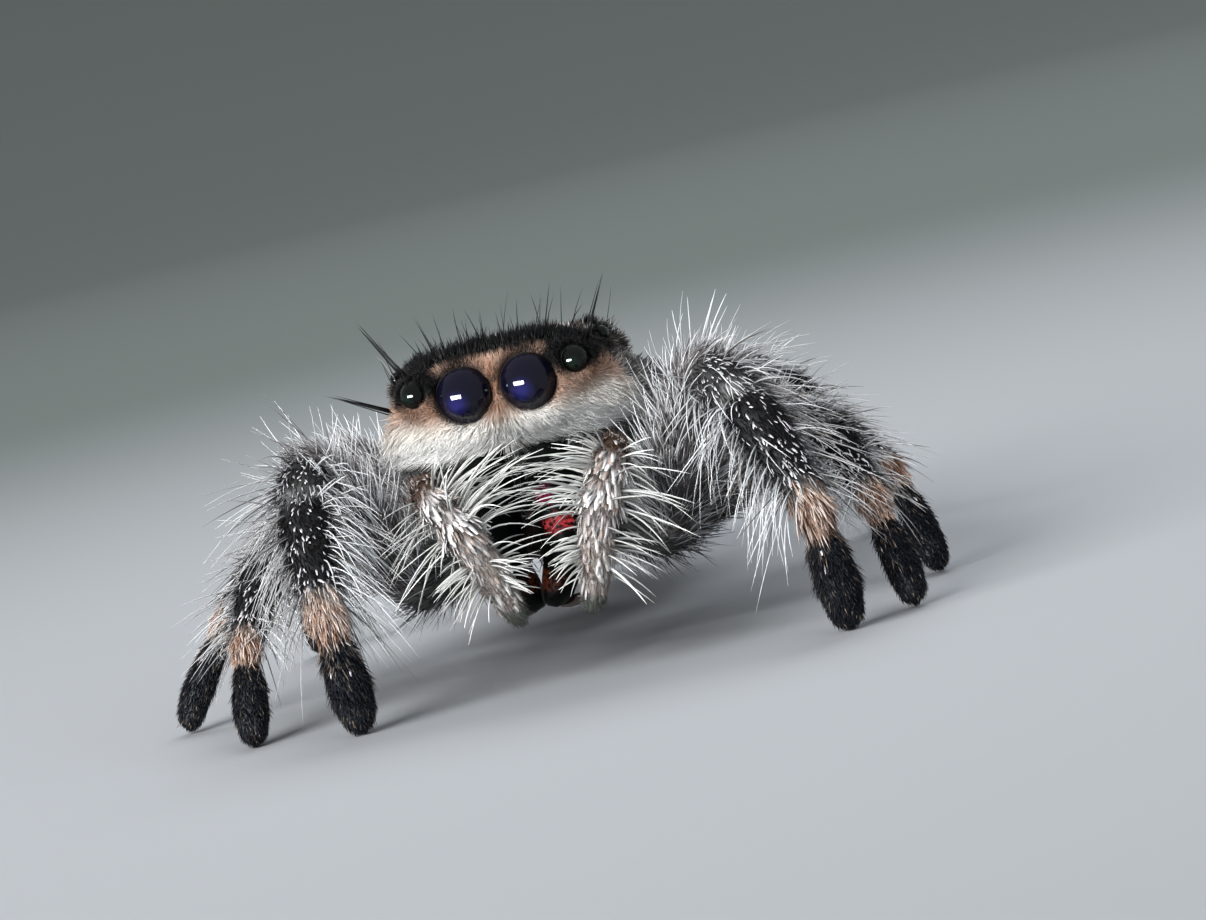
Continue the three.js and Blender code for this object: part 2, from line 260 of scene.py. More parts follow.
def chain(name, kinds, end_of):
    """The pieces of one leg or palp, from its root to its end."""
    nodes = [f"{name}_{kind.removeprefix('palp_')}" for kind in kinds]
    joints = [joint(*neighbours) for neighbours in zip(nodes, nodes[1:])]
    ends = [far_end(nodes[0], joints[0]), *joints, end_of(nodes[-1], joints[-1])]
    return [Limb(*piece) for piece in zip(nodes, kinds, ends, ends[1:])]


LEG_KINDS = ("coxa", "femur", "shin", "foot")
PALP_KINDS = ("palp_femur", "palp_shank", "palp_tarsus")
limbs = [limb for leg in LEGS for limb in chain(leg, LEG_KINDS, sole_of)]
limbs += [limb for palp in PALPS for limb in chain(palp, PALP_KINDS, palp_tip)]

# ---- Mesh code ----------------------------------------------------------------------------

LIMB_WAY = (0.13, 0.21, 0.97)  # a way that no limb follows, to measure turns from
CAP_TURNS = [1.45, 1.0, 0.5]  # radians round the cap on each end of a tube


def new_object(name, mesh):
    thing = bpy.data.objects.new(name, mesh)
    bpy.context.scene.collection.objects.link(thing)
    return thing


def discard(thing):
    mesh = thing.data
    bpy.data.objects.remove(thing)
    bpy.data.meshes.remove(mesh)


def swap_mesh(thing, mesh):
    old = thing.data
    thing.data = mesh
    bpy.data.meshes.remove(old)


def mesh_of(name, points, faces):
    mesh = bpy.data.meshes.new(name)
    mesh.from_pydata([tuple(p) for p in points], [], faces)
    mesh.update()
    return mesh


def move_points(mesh, points):
    mesh.vertices.foreach_set("co", points.astype(np.float32).ravel())
    mesh.update()


def shade_smooth(mesh):
    mesh.polygons.foreach_set("use_smooth", [True] * len(mesh.polygons))


def add_field(mesh, name, kind, values, domain="POINT"):
    """Stores a field of numbers, directions or colours on a mesh."""
    part = {"FLOAT": "value", "FLOAT_COLOR": "color"}.get(kind, "vector")
    data = mesh.attributes.new(name, kind, domain).data
    data.foreach_set(part, values.astype(np.float32).ravel())


def circle(middle, across, over, radius, sides):
    """Points round a middle, from one direction towards another."""
    turns = 2 * math.pi * np.arange(sides)[:, None] / sides
    return middle + radius * (across * np.cos(turns) + over * np.sin(turns))


def ring_faces(count, sides):
    """Faces between rings of points one after the other, and a flat face over each end."""
    faces = []
    for i in range(count - 1):
        for k in range(sides):
            here, onward = i * sides + k, i * sides + (k + 1) % sides
            faces.append((here, onward, onward + sides, here + sides))
    last = (count - 1) * sides
    faces.append(tuple(reversed(range(sides))))
    faces.append(tuple(range(last, last + sides)))
    return faces


def tube(points, radii, sides=20):
    """A closed tube along points with a round cap centred on each end."""
    stations = list(zip(points, radii, unit(np.gradient(points, axis=0))))
    caps = [
        [(end + sign * way * thick * math.sin(a), thick * math.cos(a), way) for a in CAP_TURNS]
        for sign, (end, thick, way) in ((-1, stations[0]), (1, stations[-1]))
    ]
    stations = caps[0] + stations + caps[1][::-1]
    side = np.cross(stations[0][2], LIMB_WAY)
    rings = []
    for middle, radius, way in stations:
        side = unit(side - way * (side @ way))
        rings.append(circle(middle, side, np.cross(way, side), radius, sides))
    return np.concatenate(rings), ring_faces(len(rings), sides)


def joined(name, parts):
    """One mesh from several (points, faces) pairs."""
    points = []
    faces = []
    for part_points, part_faces in parts:
        offset = len(points)
        points.extend(tuple(p) for p in part_points)
        faces.extend(tuple(i + offset for i in face) for face in part_faces)
    return mesh_of(name, points, faces)


def node_part(node):
    """A CAD node's surface in millimetres with its corners merged."""
    corners = triangles(node).reshape(-1, 3)
    merged, index = np.unique(np.round(corners, 3), axis=0, return_inverse=True)
    faces = [tuple(face) for face in index.reshape(-1, 3) if len(set(face)) == 3]
    return merged, faces


def smoothed(thing, grain, rounds):
    """Remeshes an object's closed surfaces into one, with faces of a size, and relaxes it."""
    remesh = thing.modifiers.new("Remesh", "REMESH")
    remesh.mode = "VOXEL"
    remesh.voxel_size = grain
    relax = thing.modifiers.new("Relax", "SMOOTH")
    relax.factor = 0.5
    relax.iterations = rounds
    graph = bpy.context.evaluated_depsgraph_get()
    mesh = bpy.data.meshes.new_from_object(thing.evaluated_get(graph), depsgraph=graph)
    thing.modifiers.clear()
    return mesh


def hand_over(thing, material, nodes=()):
    """Makes a shape in millimetres a finished piece in metres that rides with the frame. What
    would reach under the floor is laid on it."""
    points = points_of(thing.data)
    points[:, 2] = np.maximum(points[:, 2], 0)
    move_points(thing.data, points)
    thing.data.transform(Matrix.Scale(MM, 4))
    thing.data.materials.clear()
    thing.data.materials.append(material)
    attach(thing, "root")
    if nodes:
        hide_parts(*nodes)




# ---- The skin -----------------------------------------------------------------------------

TRUNK = ["carapace", "sternum", "pedicel", "abdomen", "mouthparts"]
SPINNERETS = [f"spinneret_{row}_{side}" for row in ("anterior", "posterior") for side in SIDES]
EYE_NODES = [f"eye_{name}_{side}" for name in EYES for side in SIDES]
TRUNK_GRAIN = 0.09
TRUNK_ROUNDS = 22
SKIN_GRAIN = 0.079
SKIN_ROUNDS = 3
HEAD_COAT = 0.13
BELLY_COAT = 0.24
UNDERSIDE_COAT = 0.4  # depth of the coat under the head, as a share of its depth on top
UNDERSIDE_BLEND = (-0.6, 0.2)  # from the head's lowest point, where one depth turns into the other
WAIST_BLEND = 0.6  # how far before and behind the waist it turns into the belly's
EYE_BARE, EYE_FURRY = 0.55, 1.1  # from an eye's middle, as shares of its width
MAIN_LENS = 1.03  # a lens against its solid, which its coat narrows on the small eyes
SMALL_LENS = 0.92
SOCKET_DEPTH = 0.5  # how far behind a lens's middle its socket lies, as a share of its radius
SOCKET_RISE = 0.55
SOCKET_SLOPE = (0.75, 1.1)  # how far out the socket's floor starts and ends its rise
SOCKET_OUT, SOCKET_AHEAD = 1.15, 2  # how far the skin is pressed in, out and ahead
SPINNERET_SIDES = 16
SPINNERET_SHIFT = 0.4  # how far each spinneret moves to the middle of the four
SPINNERET_ROOT = 0.5  # how deep its root is sunk in the tail
SPINNERET_DRAW = (0.05, 0.2)  # how far the rest is drawn in, from the root to the tip
SPINNERET_FORM = (1.1, 0.85)  # its radius at the root and the tip against its solid's


def smoothstep(low, high, value):
    share = np.clip((value - low) / (high - low), 0, 1)
    return share * share * (3 - 2 * share)


carapace_low, carapace_high = box_mm("carapace")
abdomen_low, abdomen_high = box_mm("abdomen")
midline = (carapace_low[0] + carapace_high[0]) / 2


class Eye:
    """A lens: its middle, radius and the way it looks."""

    GAZE = {
        "anterior_median": (0.03, -1.0, 0.02),
        "anterior_lateral": (0.3, -0.94, 0.1),
        "posterior_median": (0.85, -0.35, 0.4),
        "posterior_lateral": (0.85, 0.1, 0.5),
    }

    def __init__(self, name, side):
        corners = triangles(f"eye_{name}_{side}").reshape(-1, 3)
        fit = np.column_stack([2 * corners, np.ones(len(corners))])
        answer = np.linalg.lstsq(fit, (corners**2).sum(1), rcond=None)[0]
        self.name = f"{name}_{side}"
        self.main = name == "anterior_median"
        self.middle = answer[:3]
        self.radius = math.sqrt(answer[3] + self.middle @ self.middle)
        self.size = self.radius * (MAIN_LENS if self.main else SMALL_LENS)
        self.gaze = unit(np.array(self.GAZE[name]) * (SIDES[side], 1, 1))

    def sideways(self, points):
        """From the line of sight out to each point, and how far ahead of the middle it lies."""
        gap = points - self.middle
        ahead = gap @ self.gaze
        return gap - self.gaze * ahead[:, None], ahead

    def sunk(self, points):
        """The skin round the lens, pressed back into a socket that the lens sits in."""
        sideways, ahead = self.sideways(points)
        share = span(sideways) / self.size
        floor = self.size * (SOCKET_RISE * smoothstep(*SOCKET_SLOPE, share) - SOCKET_DEPTH)
        over = (share < SOCKET_OUT) & (ahead > floor) & (ahead < SOCKET_AHEAD * self.size)
        points = points.copy()
        points[over] = (self.middle + sideways + self.gaze * floor[:, None])[over]
        return points


eyes = [Eye(name, side) for name in EYES for side in SIDES]
main_eyes = [eye for eye in eyes if eye.main]
brow = (main_eyes[0].middle + main_eyes[1].middle) / 2


def trunk_part():
    """Head, breast, waist and belly as one rounded body, drawn in by the depth of its coat."""
    parts = [node_part(node) for node in TRUNK + EYE_NODES]
    thing = new_object("trunk", joined("trunk", parts))
    mesh = smoothed(thing, TRUNK_GRAIN, TRUNK_ROUNDS)
    points = points_of(mesh)
    waist = carapace_high[1]
    behind = smoothstep(waist - WAIST_BLEND, waist + WAIST_BLEND, points[:, 1])
    above = smoothstep(*(carapace_low[2] + np.array(UNDERSIDE_BLEND)), points[:, 2])
    on_head = HEAD_COAT * (UNDERSIDE_COAT + (1 - UNDERSIDE_COAT) * above)
    depth = on_head * (1 - behind) + BELLY_COAT * behind
    for node in EYE_NODES:
        low, high = box_mm(node)
        gap = span(points - middle_of(node)) / (high - low).max()
        depth *= smoothstep(EYE_BARE, EYE_FURRY, gap)
    points -= normals_of(mesh) * depth[:, None]
    for eye in eyes:
        points = eye.sunk(points)
    faces = [tuple(face.vertices) for face in mesh.polygons]
    discard(thing)
    bpy.data.meshes.remove(mesh)
    return points, faces


def spinneret_part(node):
    """A blunt cone that stands out of the tail, close beside the others."""
    tip = far_end(node, middle_of("abdomen"))
    root = far_end(node, tip)
    points, radii = spine(node, root, tip)
    tail = np.mean([middle_of(other) for other in SPINNERETS], axis=0)
    points += SPINNERET_SHIFT * (tail - middle_of(node))
    points[0] -= unit(tip - root) * SPINNERET_ROOT
    points[1:] -= unit(tip - root) * np.linspace(*SPINNERET_DRAW, len(points) - 1)[:, None]
    return tube(points, radii * np.linspace(*SPINNERET_FORM, len(radii)), SPINNERET_SIDES)


def make_skin():
    parts = [trunk_part()] + [tube(limb.points, limb.radii) for limb in limbs]
    parts += [spinneret_part(node) for node in SPINNERETS]
    thing = new_object("skin_parts", joined("skin_parts", parts))
    mesh = smoothed(thing, SKIN_GRAIN, SKIN_ROUNDS)
    mesh.name = "skin"
    discard(thing)
    shade_smooth(mesh)
    return mesh


skin_mesh = make_skin()
P = points_of(skin_mesh)
N = normals_of(skin_mesh)
COUNT = len(P)

# ---- Where each point of the skin is ------------------------------------------------------

SPINE_REACH = 1.3  # how far off a limb's line its skin may lie, as a share of its radius
NOISE_WAVES = 7
NOISE_SPREAD = (0.7, 1.4)  # how much finer or coarser than its scale each wave is
NOISE_PEAK = 3.2
RIM_FADE = 0.1  # how soon the fur forgets a lens's rim, and how far off it does so for good
RIM_REACH = 0.6
BARE_REACH, BARE_SIGHT = 1.04, 0.93  # no hair grows this near a lens's middle or line of sight


class Place:
    """For each skin point: its limb piece or trunk, the share along it, its axis and the way out."""

    def __init__(self):
        best = np.full(COUNT, SPINE_REACH)
        self.limb = np.full(COUNT, -1)
        self.along = np.zeros(COUNT)
        self.axis = np.tile([0.0, 1.0, 0.0], (COUNT, 1))
        self.out = N.copy()
        for number, limb in enumerate(limbs):
            reach = limb.radii.max() * SPINE_REACH
            low = limb.points.min(0) - reach
            high = limb.points.max(0) + reach
            near = np.where(((P > low) & (P < high)).all(1))[0]
            starts = limb.points[:-1]
            steps = limb.points[1:] - starts
            gap = P[near, None] - starts[None]
            share = np.clip((gap * steps).sum(2) / (steps**2).sum(1), 0, 1)
            offset = gap - share[..., None] * steps
            distance = span(offset)
            k = distance.argmin(1)
            row = np.arange(len(near))
            along = (k + share[row, k]) / len(steps)
            girth = np.interp(along, np.linspace(0, 1, len(limb.radii)), limb.radii)
            ratio = distance[row, k] / girth
            won = ratio < best[near]
            chosen = near[won]
            best[chosen] = ratio[won]
            self.limb[chosen] = number
            self.along[chosen] = along[won]
            self.axis[chosen] = unit(steps[k[won]])
            self.out[chosen] = unit(offset[row, k][won])


place = Place()
kinds = np.array([limb.kind for limb in limbs] + ["trunk"])[place.limb]
names = np.array([limb.node for limb in limbs] + ["trunk"])[place.limb]
pair = np.array([int(name[4]) if name.startswith("leg") else 0 for name in names])
t = place.along  # how far along its limb piece each point lies, from 0 to 1
R = P - brow  # its place from the middle between the main eyes
is_trunk = place.limb < 0
is_leg = pair > 0
is_palp = ~is_trunk & ~is_leg
is_head = is_trunk & (P[:, 1] < middle_of("pedicel")[1])
is_belly = is_trunk & ~is_head
is_coxa, is_femur, is_shin, is_foot = (kinds == kind for kind in LEG_KINDS)
is_palp_femur, is_shank, is_tarsus = (kinds == kind for kind in PALP_KINDS)
first_pair = pair == 1
side_of = np.sign(P[:, 0] - midline)
belly_length = (P[:, 1] - abdomen_low[1]) / (abdomen_high[1] - abdomen_low[1])


def whole(value):
    """A number or field as one number for each point of the skin."""
    return np.broadcast_to(np.asarray(value, float), (COUNT,)).copy()


def times(way, amount):
    """A direction or field of directions with each made as long as its own amount."""
    return way * whole(amount)[:, None]


def flat(way):
    """A direction laid down on the skin."""
    way = np.broadcast_to(np.asarray(way, float), P.shape)
    return unit(way - N * (way * N).sum(1, keepdims=True))


def raised(lie, degrees):
    """A direction along the skin lifted off it by an angle."""
    angle = np.radians(whole(degrees))
    return unit(times(lie, np.cos(angle)) + times(N, np.sin(angle)))


def noise(scale, seed):
    """Soft bumps from -1 to 1 over the skin, about as wide as scale."""
    rng = np.random.default_rng(seed)
    total = np.zeros(COUNT)
    for _ in range(NOISE_WAVES):
        way = unit(rng.normal(size=3)) * rng.uniform(*NOISE_SPREAD) * 2 * math.pi / scale
        total += np.sin(P @ way + rng.uniform(0, 2 * math.pi))
    return np.clip(total / NOISE_PEAK, -1, 1)


def mix(colour_a, colour_b, share):
    return np.asarray(colour_a) * (1 - whole(share)[:, None]) + times(np.asarray(colour_b), share)


def layered(colour, *layers):
    """A colour with others laid over it, each by its own share."""
    for over, share in layers:
        colour = mix(colour, over, share)
    return colour


def pick(mask, colour_a, colour_b):
    """One colour where a mask holds and another elsewhere."""
    return np.where(mask[:, None], colour_a, colour_b)


def away_from_eyes():
    """How near each point is to a lens's rim, the way off that lens, the way it looks, whether it
    is a small eye's, and which points lie under it."""
    nearness = np.zeros(COUNT)
    away = np.zeros((COUNT, 3))
    gaze = np.zeros((COUNT, 3))
    by_small = np.zeros(COUNT, bool)
    under = np.zeros(COUNT, bool)
    for eye in eyes:
        sideways, ahead = eye.sideways(P)
        reach = span(P - eye.middle)
        distance = span(sideways)
        before = ahead > -eye.radius
        near = np.exp(-np.maximum(distance - eye.radius, 0) / RIM_FADE) * before
        near *= reach < eye.radius + RIM_REACH
        closer = near > nearness
        nearness[closer] = near[closer]
        away[closer] = unit(sideways)[closer]
        gaze[closer] = eye.gaze
        by_small[closer] = not eye.main
        under |= (reach < eye.size * BARE_REACH) & before
        under |= (distance < eye.size * BARE_SIGHT) & before & (near > 0)
    return nearness, away, gaze, by_small, under


rim, off_eye, gaze, by_small_eye, under_lens = away_from_eyes()

# ---- Markings -----------------------------------------------------------------------------


def face_tint(x, z, ripple):
    """Tan round the main eyes, cream below them, black above them and round the others. x and z
    are how far to the side of the middle between the main eyes a point lies, and how high."""
    arcs = np.zeros(COUNT)
    rings = np.zeros(COUNT)
    for eye in main_eyes:
        gap = P - eye.middle
        distance = np.hypot(gap[:, 0], gap[:, 2])
        arcs = np.maximum(arcs, bell(distance, eye.radius + 0.05, 0.07) * (gap[:, 2] > 0.1))
        rings = np.maximum(rings, smoothstep(eye.radius + 0.06, eye.radius, distance))
    pale_top = -0.36 + 0.18 * smoothstep(0.8, 1.6, x) + ripple
    band_low = 0.6 - 0.36 * smoothstep(0.9, 1.35, x) - 0.3 * smoothstep(1.5, 2.1, x) + ripple
    tan = layered(
        TAN,
        (RUST, np.clip(0.25 + 0.5 * noise(0.5, 5), 0, 1)),
        (RUST, smoothstep(0.22, 0.1, x) * smoothstep(0.3, 0.0, np.abs(z)) * 0.8),
        (UMBER, 0.75 * arcs),
    )
    cream = mix(WHITE, CREAM, smoothstep(-0.75, -0.35, z + ripple) * 0.6)
    face = layered(
        tan,
        (mix(cream, SILVER, smoothstep(1.7, 2.5, x) * 0.4), smoothstep(pale_top + 0.1, pale_top - 0.26, z)),
        (SOOT, smoothstep(band_low - 0.08, band_low + 0.05, z)),
        (SEPIA, rings),
    )
    for eye in eyes:
        if not eye.main:
            gap = P - eye.middle
            above = smoothstep(-1.1, -0.3, gap[:, 2] / eye.radius)
            face = mix(face, SOOT, smoothstep(eye.radius + 0.4, eye.radius + 0.24, span(gap)) * above)
    return face


def head_tint():
    """Brown and grey, with the face in front, black over the brow and under the face, the latter partly
    painted shade, brown below.
    """
    z = R[:, 2]
    ripple = 0.06 * noise(0.7, 3)
    front = smoothstep(1.5, 0.7, R[:, 1])
    return layered(
        GREY,
        (UMBER, 0.45 + 0.3 * noise(1.3, 4)),
        (GREY, smoothstep(0.35, -0.6, z + ripple)),
        (face_tint(np.abs(R[:, 0]), z, ripple), front),
        (SOOT, smoothstep(0.5, 0.62, z) * smoothstep(1.9, 1.2, R[:, 1])),
        # Black under the face: partly the dark fur there, partly painted shade under the face's edge.
        (SOOT, smoothstep(-0.98, -1.08, z + 0.5 * ripple) * front),
        (UMBER, smoothstep(-1.9, -2.6, z)),
    )


# The paired pale spots on the back: place along the belly, distance off the midline and radius.
BACK_SPOTS = ((0.66, 0.95, 0.34), (0.8, 0.7, 0.27), (0.36, 1.35, 0.3))
BACK_SPAN = 10.66  # the belly's length in the stretched measure that makes the spots oval
STRIPES = 2.6


def belly_tint():
    """Black with a cream base, a white triangle and spots on the back, and slanting side stripes."""
    x = np.abs(P[:, 0] - midline)
    up = N[:, 2]
    ripple = 0.04 * noise(1.1, 8)
    base = smoothstep(0.2, 0.1, belly_length + ripple + 0.02 * x) * smoothstep(-0.5, 0.1, up)
    triangle = smoothstep(0.42, 0.5, belly_length) * (x < (0.62 - belly_length) * 4.6)
    spots = []
    for length, aside, radius in BACK_SPOTS:
        gap = np.hypot((belly_length - length) * BACK_SPAN, x - aside) + 2 * ripple
        spots.append((WHITE, 0.9 * smoothstep(radius + 0.08, radius - 0.08, gap) * (up > 0.2)))
    stripe = np.sin((belly_length + up * 0.22 + ripple) * 2 * math.pi * STRIPES)
    sides = smoothstep(0.55, 0.2, up) * smoothstep(-0.7, -0.3, up)
    return layered(
        SOOT,
        (GREY, np.clip(0.42 + 0.25 * noise(0.9, 9), 0, 1)),
        (SOOT, smoothstep(1.5, 0.9, x) * smoothstep(0.2, 0.5, up) * 0.75),
        (CREAM, 0.9 * base * smoothstep(-0.04, 0.01, belly_length)),
        (WHITE, 0.9 * triangle * (up > 0.3)),
        *spots,
        (SILVER, 0.8 * sides * smoothstep(0.45, 0.95, stripe)),
        (GREY, 0.6 * smoothstep(-0.5, -0.85, up)),
    )


FEMUR_GREY = (0.19, 0.155, 0.155)


def leg_tint():
    """Grey legs with black patches down the front of each shin, tan ankles, black feet, and painted shade
    under each femur.
    """
    ripple = noise(0.55, 12)
    facing = place.out[:, 1] * -0.75 + place.out[:, 2] * 0.55 + 0.25 * ripple
    grey = mix(GREY, SILVER, np.clip(0.24 + 0.35 * ripple, 0, 1))
    ankle = mix(TAN, RUST, np.clip(0.35 + 0.4 * ripple, 0, 1))
    # Painted shade: each femur darkens towards black on its underside.
    shade = 0.45 * smoothstep(0.3, -0.5, place.out[:, 2])
    femur = layered(grey, (FEMUR_GREY, 0.4), (SOOT, shade))
    patches = smoothstep(0.02, 0.1, t) * smoothstep(0.93, 0.86, t)
    patches *= 1 - 0.65 * bell(t, 0.31, 0.045) - 0.1 * smoothstep(0.3, 0.24, t)
    patches = np.clip(patches * smoothstep(0.0, 0.35, facing), 0, 1)
    shin = layered(grey, (SOOT, patches), (mix(ankle, CREAM, 0.35), smoothstep(0.9, 0.97, t)))
    # The feet's blue-black: black, with a painted blue sheen.
    foot = mix(ankle, NAVY, smoothstep(0.16, 0.25, t + 0.04 * ripple))
    tint = pick(is_coxa, PITCH, grey)
    for mask, colour in ((is_femur, femur), (is_shin, shin), (is_foot, foot)):
        tint = pick(mask, colour, tint)
    return tint


TARSUS_PALE = (0.42, 0.37, 0.34)
TARSUS_TIP = (0.09, 0.1, 0.085)


def palp_bands(along):
    """Where a feeler's shank is brown and thin of scales: a band and, nearer the tip, a line."""
    band = smoothstep(0.29, 0.34, along) * smoothstep(0.45, 0.4, along)
    return np.maximum(band, bell(along, 0.78, 0.035))


def palp_tint():
    """Silver and ash feelers, brown at their joints and in the shank's bands, with a dark tip."""
    femur = mix(SILVER, UMBER, smoothstep(0.7, 0.9, t))
    brown = mix(TAUPE, UMBER, 0.4)
    shank = layered(UMBER, (ASH, 0.8 * smoothstep(0.1, 0.18, t)), (brown, palp_bands(t)))
    pale, dark = smoothstep(0.07, 0.14, t), smoothstep(0.82, 0.92, t)
    tarsus = layered(TAUPE, (TARSUS_PALE, pale), (TARSUS_TIP, dark))
    return pick(is_palp_femur, femur, pick(is_shank, shank, tarsus))


tint = pick(is_head, head_tint(), belly_tint())
tint = pick(is_leg, leg_tint(), tint)
tint = pick(is_palp, palp_tint(), tint)
tint = np.clip(tint, 0.004, 1)

# ---- A flat map of the skin, for the coat's own map ---------------------------------------

CELLS_ACROSS, CELLS_DOWN = 8, 5
CELL_EDGE = 0.006
TRUNK_EDGE = 0.01
TRUNK_CELL = 0.48


def charts():
    """Each skin point's place in its own cell of the map: round the piece and along it."""
    low = np.zeros((COUNT, 2))
    size = np.tile([TRUNK_CELL, TRUNK_CELL], (COUNT, 1))
    share = np.zeros((COUNT, 2))
    for mask, node, left in ((is_head, "carapace", 0.0), (is_belly, "abdomen", 0.5)):
        gap = unit(P[mask] - middle_of(node))
        share[mask, 0] = np.arctan2(gap[:, 0], -gap[:, 1]) / (2 * math.pi) + 0.5
        share[mask, 1] = np.arcsin(np.clip(gap[:, 2], -1, 1)) / math.pi + 0.5
        low[mask] = (left + TRUNK_EDGE, 0.5 + TRUNK_EDGE)
    wide, tall = 1 / CELLS_ACROSS, 0.5 / CELLS_DOWN
    for number, limb in enumerate(limbs):
        mask = place.limb == number
        row, column = divmod(number, CELLS_ACROSS)
        low[mask] = (column * wide + CELL_EDGE, row * tall + CELL_EDGE)
        size[mask] = (wide - 2 * CELL_EDGE, tall - 2 * CELL_EDGE)
        across = unit(np.cross(limb.way, LIMB_WAY))
        over = np.cross(limb.way, across)
        out = place.out[mask]
        share[mask, 0] = np.arctan2(out @ over, out @ across) / (2 * math.pi) + 0.5
        share[mask, 1] = t[mask]
    return low, size, share


cell_low, cell_size, chart = charts()


# ---- The coat -----------------------------------------------------------------------------

DRAWS = 8  # random draws in the coat's tree, each with its own seed
DRAW_STEP = 10.0
BEND_RANGE, GIRTH_RANGE = (0.5, 1.5), (0.75, 1.25)  # how much these vary from hair to hair
HAIR_SWELL = 1.1  # lets a hair keep its width for longer before it tapers
PATCH_WIDE, PATCH_TALL = 0.0012, 0.003  # a tuft's patch on the map
PATCH_SLANT = 0.3
COAT_INPUTS = {
    "Seed": ("Int", 1),
    "Joints": ("Int", 3),
    "Spread": ("Float", 0.3),
    "Vary": ("Float", 0.4),
    "Wave": ("Float", 0.1),
    "Depth": ("Float", 0.4),
    "Blunt": ("Float", 0.0),
    "Tone Low": ("Float", 0.75),
    "Tone High": ("Float", 1.15),
    "Finish": ("Material", None),
}
# The fields that a finished coat has no more use for.
SPENT = "density stem bend girth share accent chart root hair_wide hair_deep hair_bend hair_form".split()


class Nodes:
    """A short way to write a node tree."""

    def __init__(self, tree):
        self.tree = tree

    def feed(self, socket, value):
        if isinstance(value, bpy.types.NodeSocket):
            self.tree.links.new(value, socket)
        else:
            socket.default_value = value

    def add(self, node_type, inputs=None, **settings):
        node = self.tree.nodes.new(node_type)
        for key, value in settings.items():
            setattr(node, key, value)
        for key, value in (inputs or {}).items():
            self.feed(node.inputs[key], value)
        return node

    def maths(self, operation, *values):
        inputs = dict(enumerate(values))
        return self.add("ShaderNodeMath", inputs, operation=operation).outputs[0]

    def vector(self, operation, *values):
        node = self.add("ShaderNodeVectorMath", dict(enumerate(values)), operation=operation)
        return node.outputs["Value" if operation in ("LENGTH", "DISTANCE") else "Vector"]

    def times(self, way, amount):
        inputs = {0: way, "Scale": amount}
        return self.add("ShaderNodeVectorMath", inputs, operation="SCALE").outputs["Vector"]

    def plus(self, way, other, amount):
        """A direction with an amount of another added to it."""
        return self.vector("ADD", way, self.times(other, amount))

    def read(self, name, kind="FLOAT"):
        inputs = {"Name": name}
        node = self.add("GeometryNodeInputNamedAttribute", inputs, data_type=kind)
        return node.outputs["Attribute"]

    def store(self, geometry, name, value, kind="FLOAT", domain="POINT"):
        inputs = {"Geometry": geometry, "Name": name, "Value": value}
        node_type = "GeometryNodeStoreNamedAttribute"
        return self.add(node_type, inputs, data_type=kind, domain=domain).outputs["Geometry"]

    def random(self, low, high, seed, kind="FLOAT"):
        node = self.add("FunctionNodeRandomValue", {"Seed": seed}, data_type=kind)
        ends = [s for s in node.inputs if s.name in ("Min", "Max") and s.enabled]
        self.feed(ends[0], low)
        self.feed(ends[1], high)
        return next(s for s in node.outputs if s.enabled)

    def ramp(self, value, low=0.0, high=1.0, start=0.0, stop=1.0, kind="LINEAR"):
        """How far a value is on its way from low to high, told as a number from start to stop."""
        ends = {"From Min": low, "From Max": high, "To Min": start, "To Max": stop}
        inputs = {"Value": value, **ends}
        return self.add("ShaderNodeMapRange", inputs, interpolation_type=kind).outputs["Result"]

    def blend(self, share, *colours):
        """The first of two colours turning into the second."""
        node = self.add("ShaderNodeMix", {"Factor": share}, data_type="RGBA")
        ends = [s for s in node.inputs if s.enabled and s.name in ("A", "B")]
        for socket, colour in zip(ends, colours):
            self.feed(socket, (*colour, 1) if isinstance(colour, tuple) else colour)
        return next(s for s in node.outputs if s.enabled)

    def grain(self, where, scale, detail):
        inputs = {"Vector": where, "Scale": scale, "Detail": detail}
        return self.add("ShaderNodeTexNoise", inputs).outputs["Fac"]

    def relief(self, height, strength, distance):
        inputs = {"Height": height, "Strength": strength, "Distance": distance}
        return self.add("ShaderNodeBump", inputs).outputs["Normal"]

    def stored(self, name, output="Fac"):
        return self.add("ShaderNodeAttribute", attribute_name=name).outputs[output]

    def where(self):
        return self.add("ShaderNodeTexCoord").outputs["Object"]


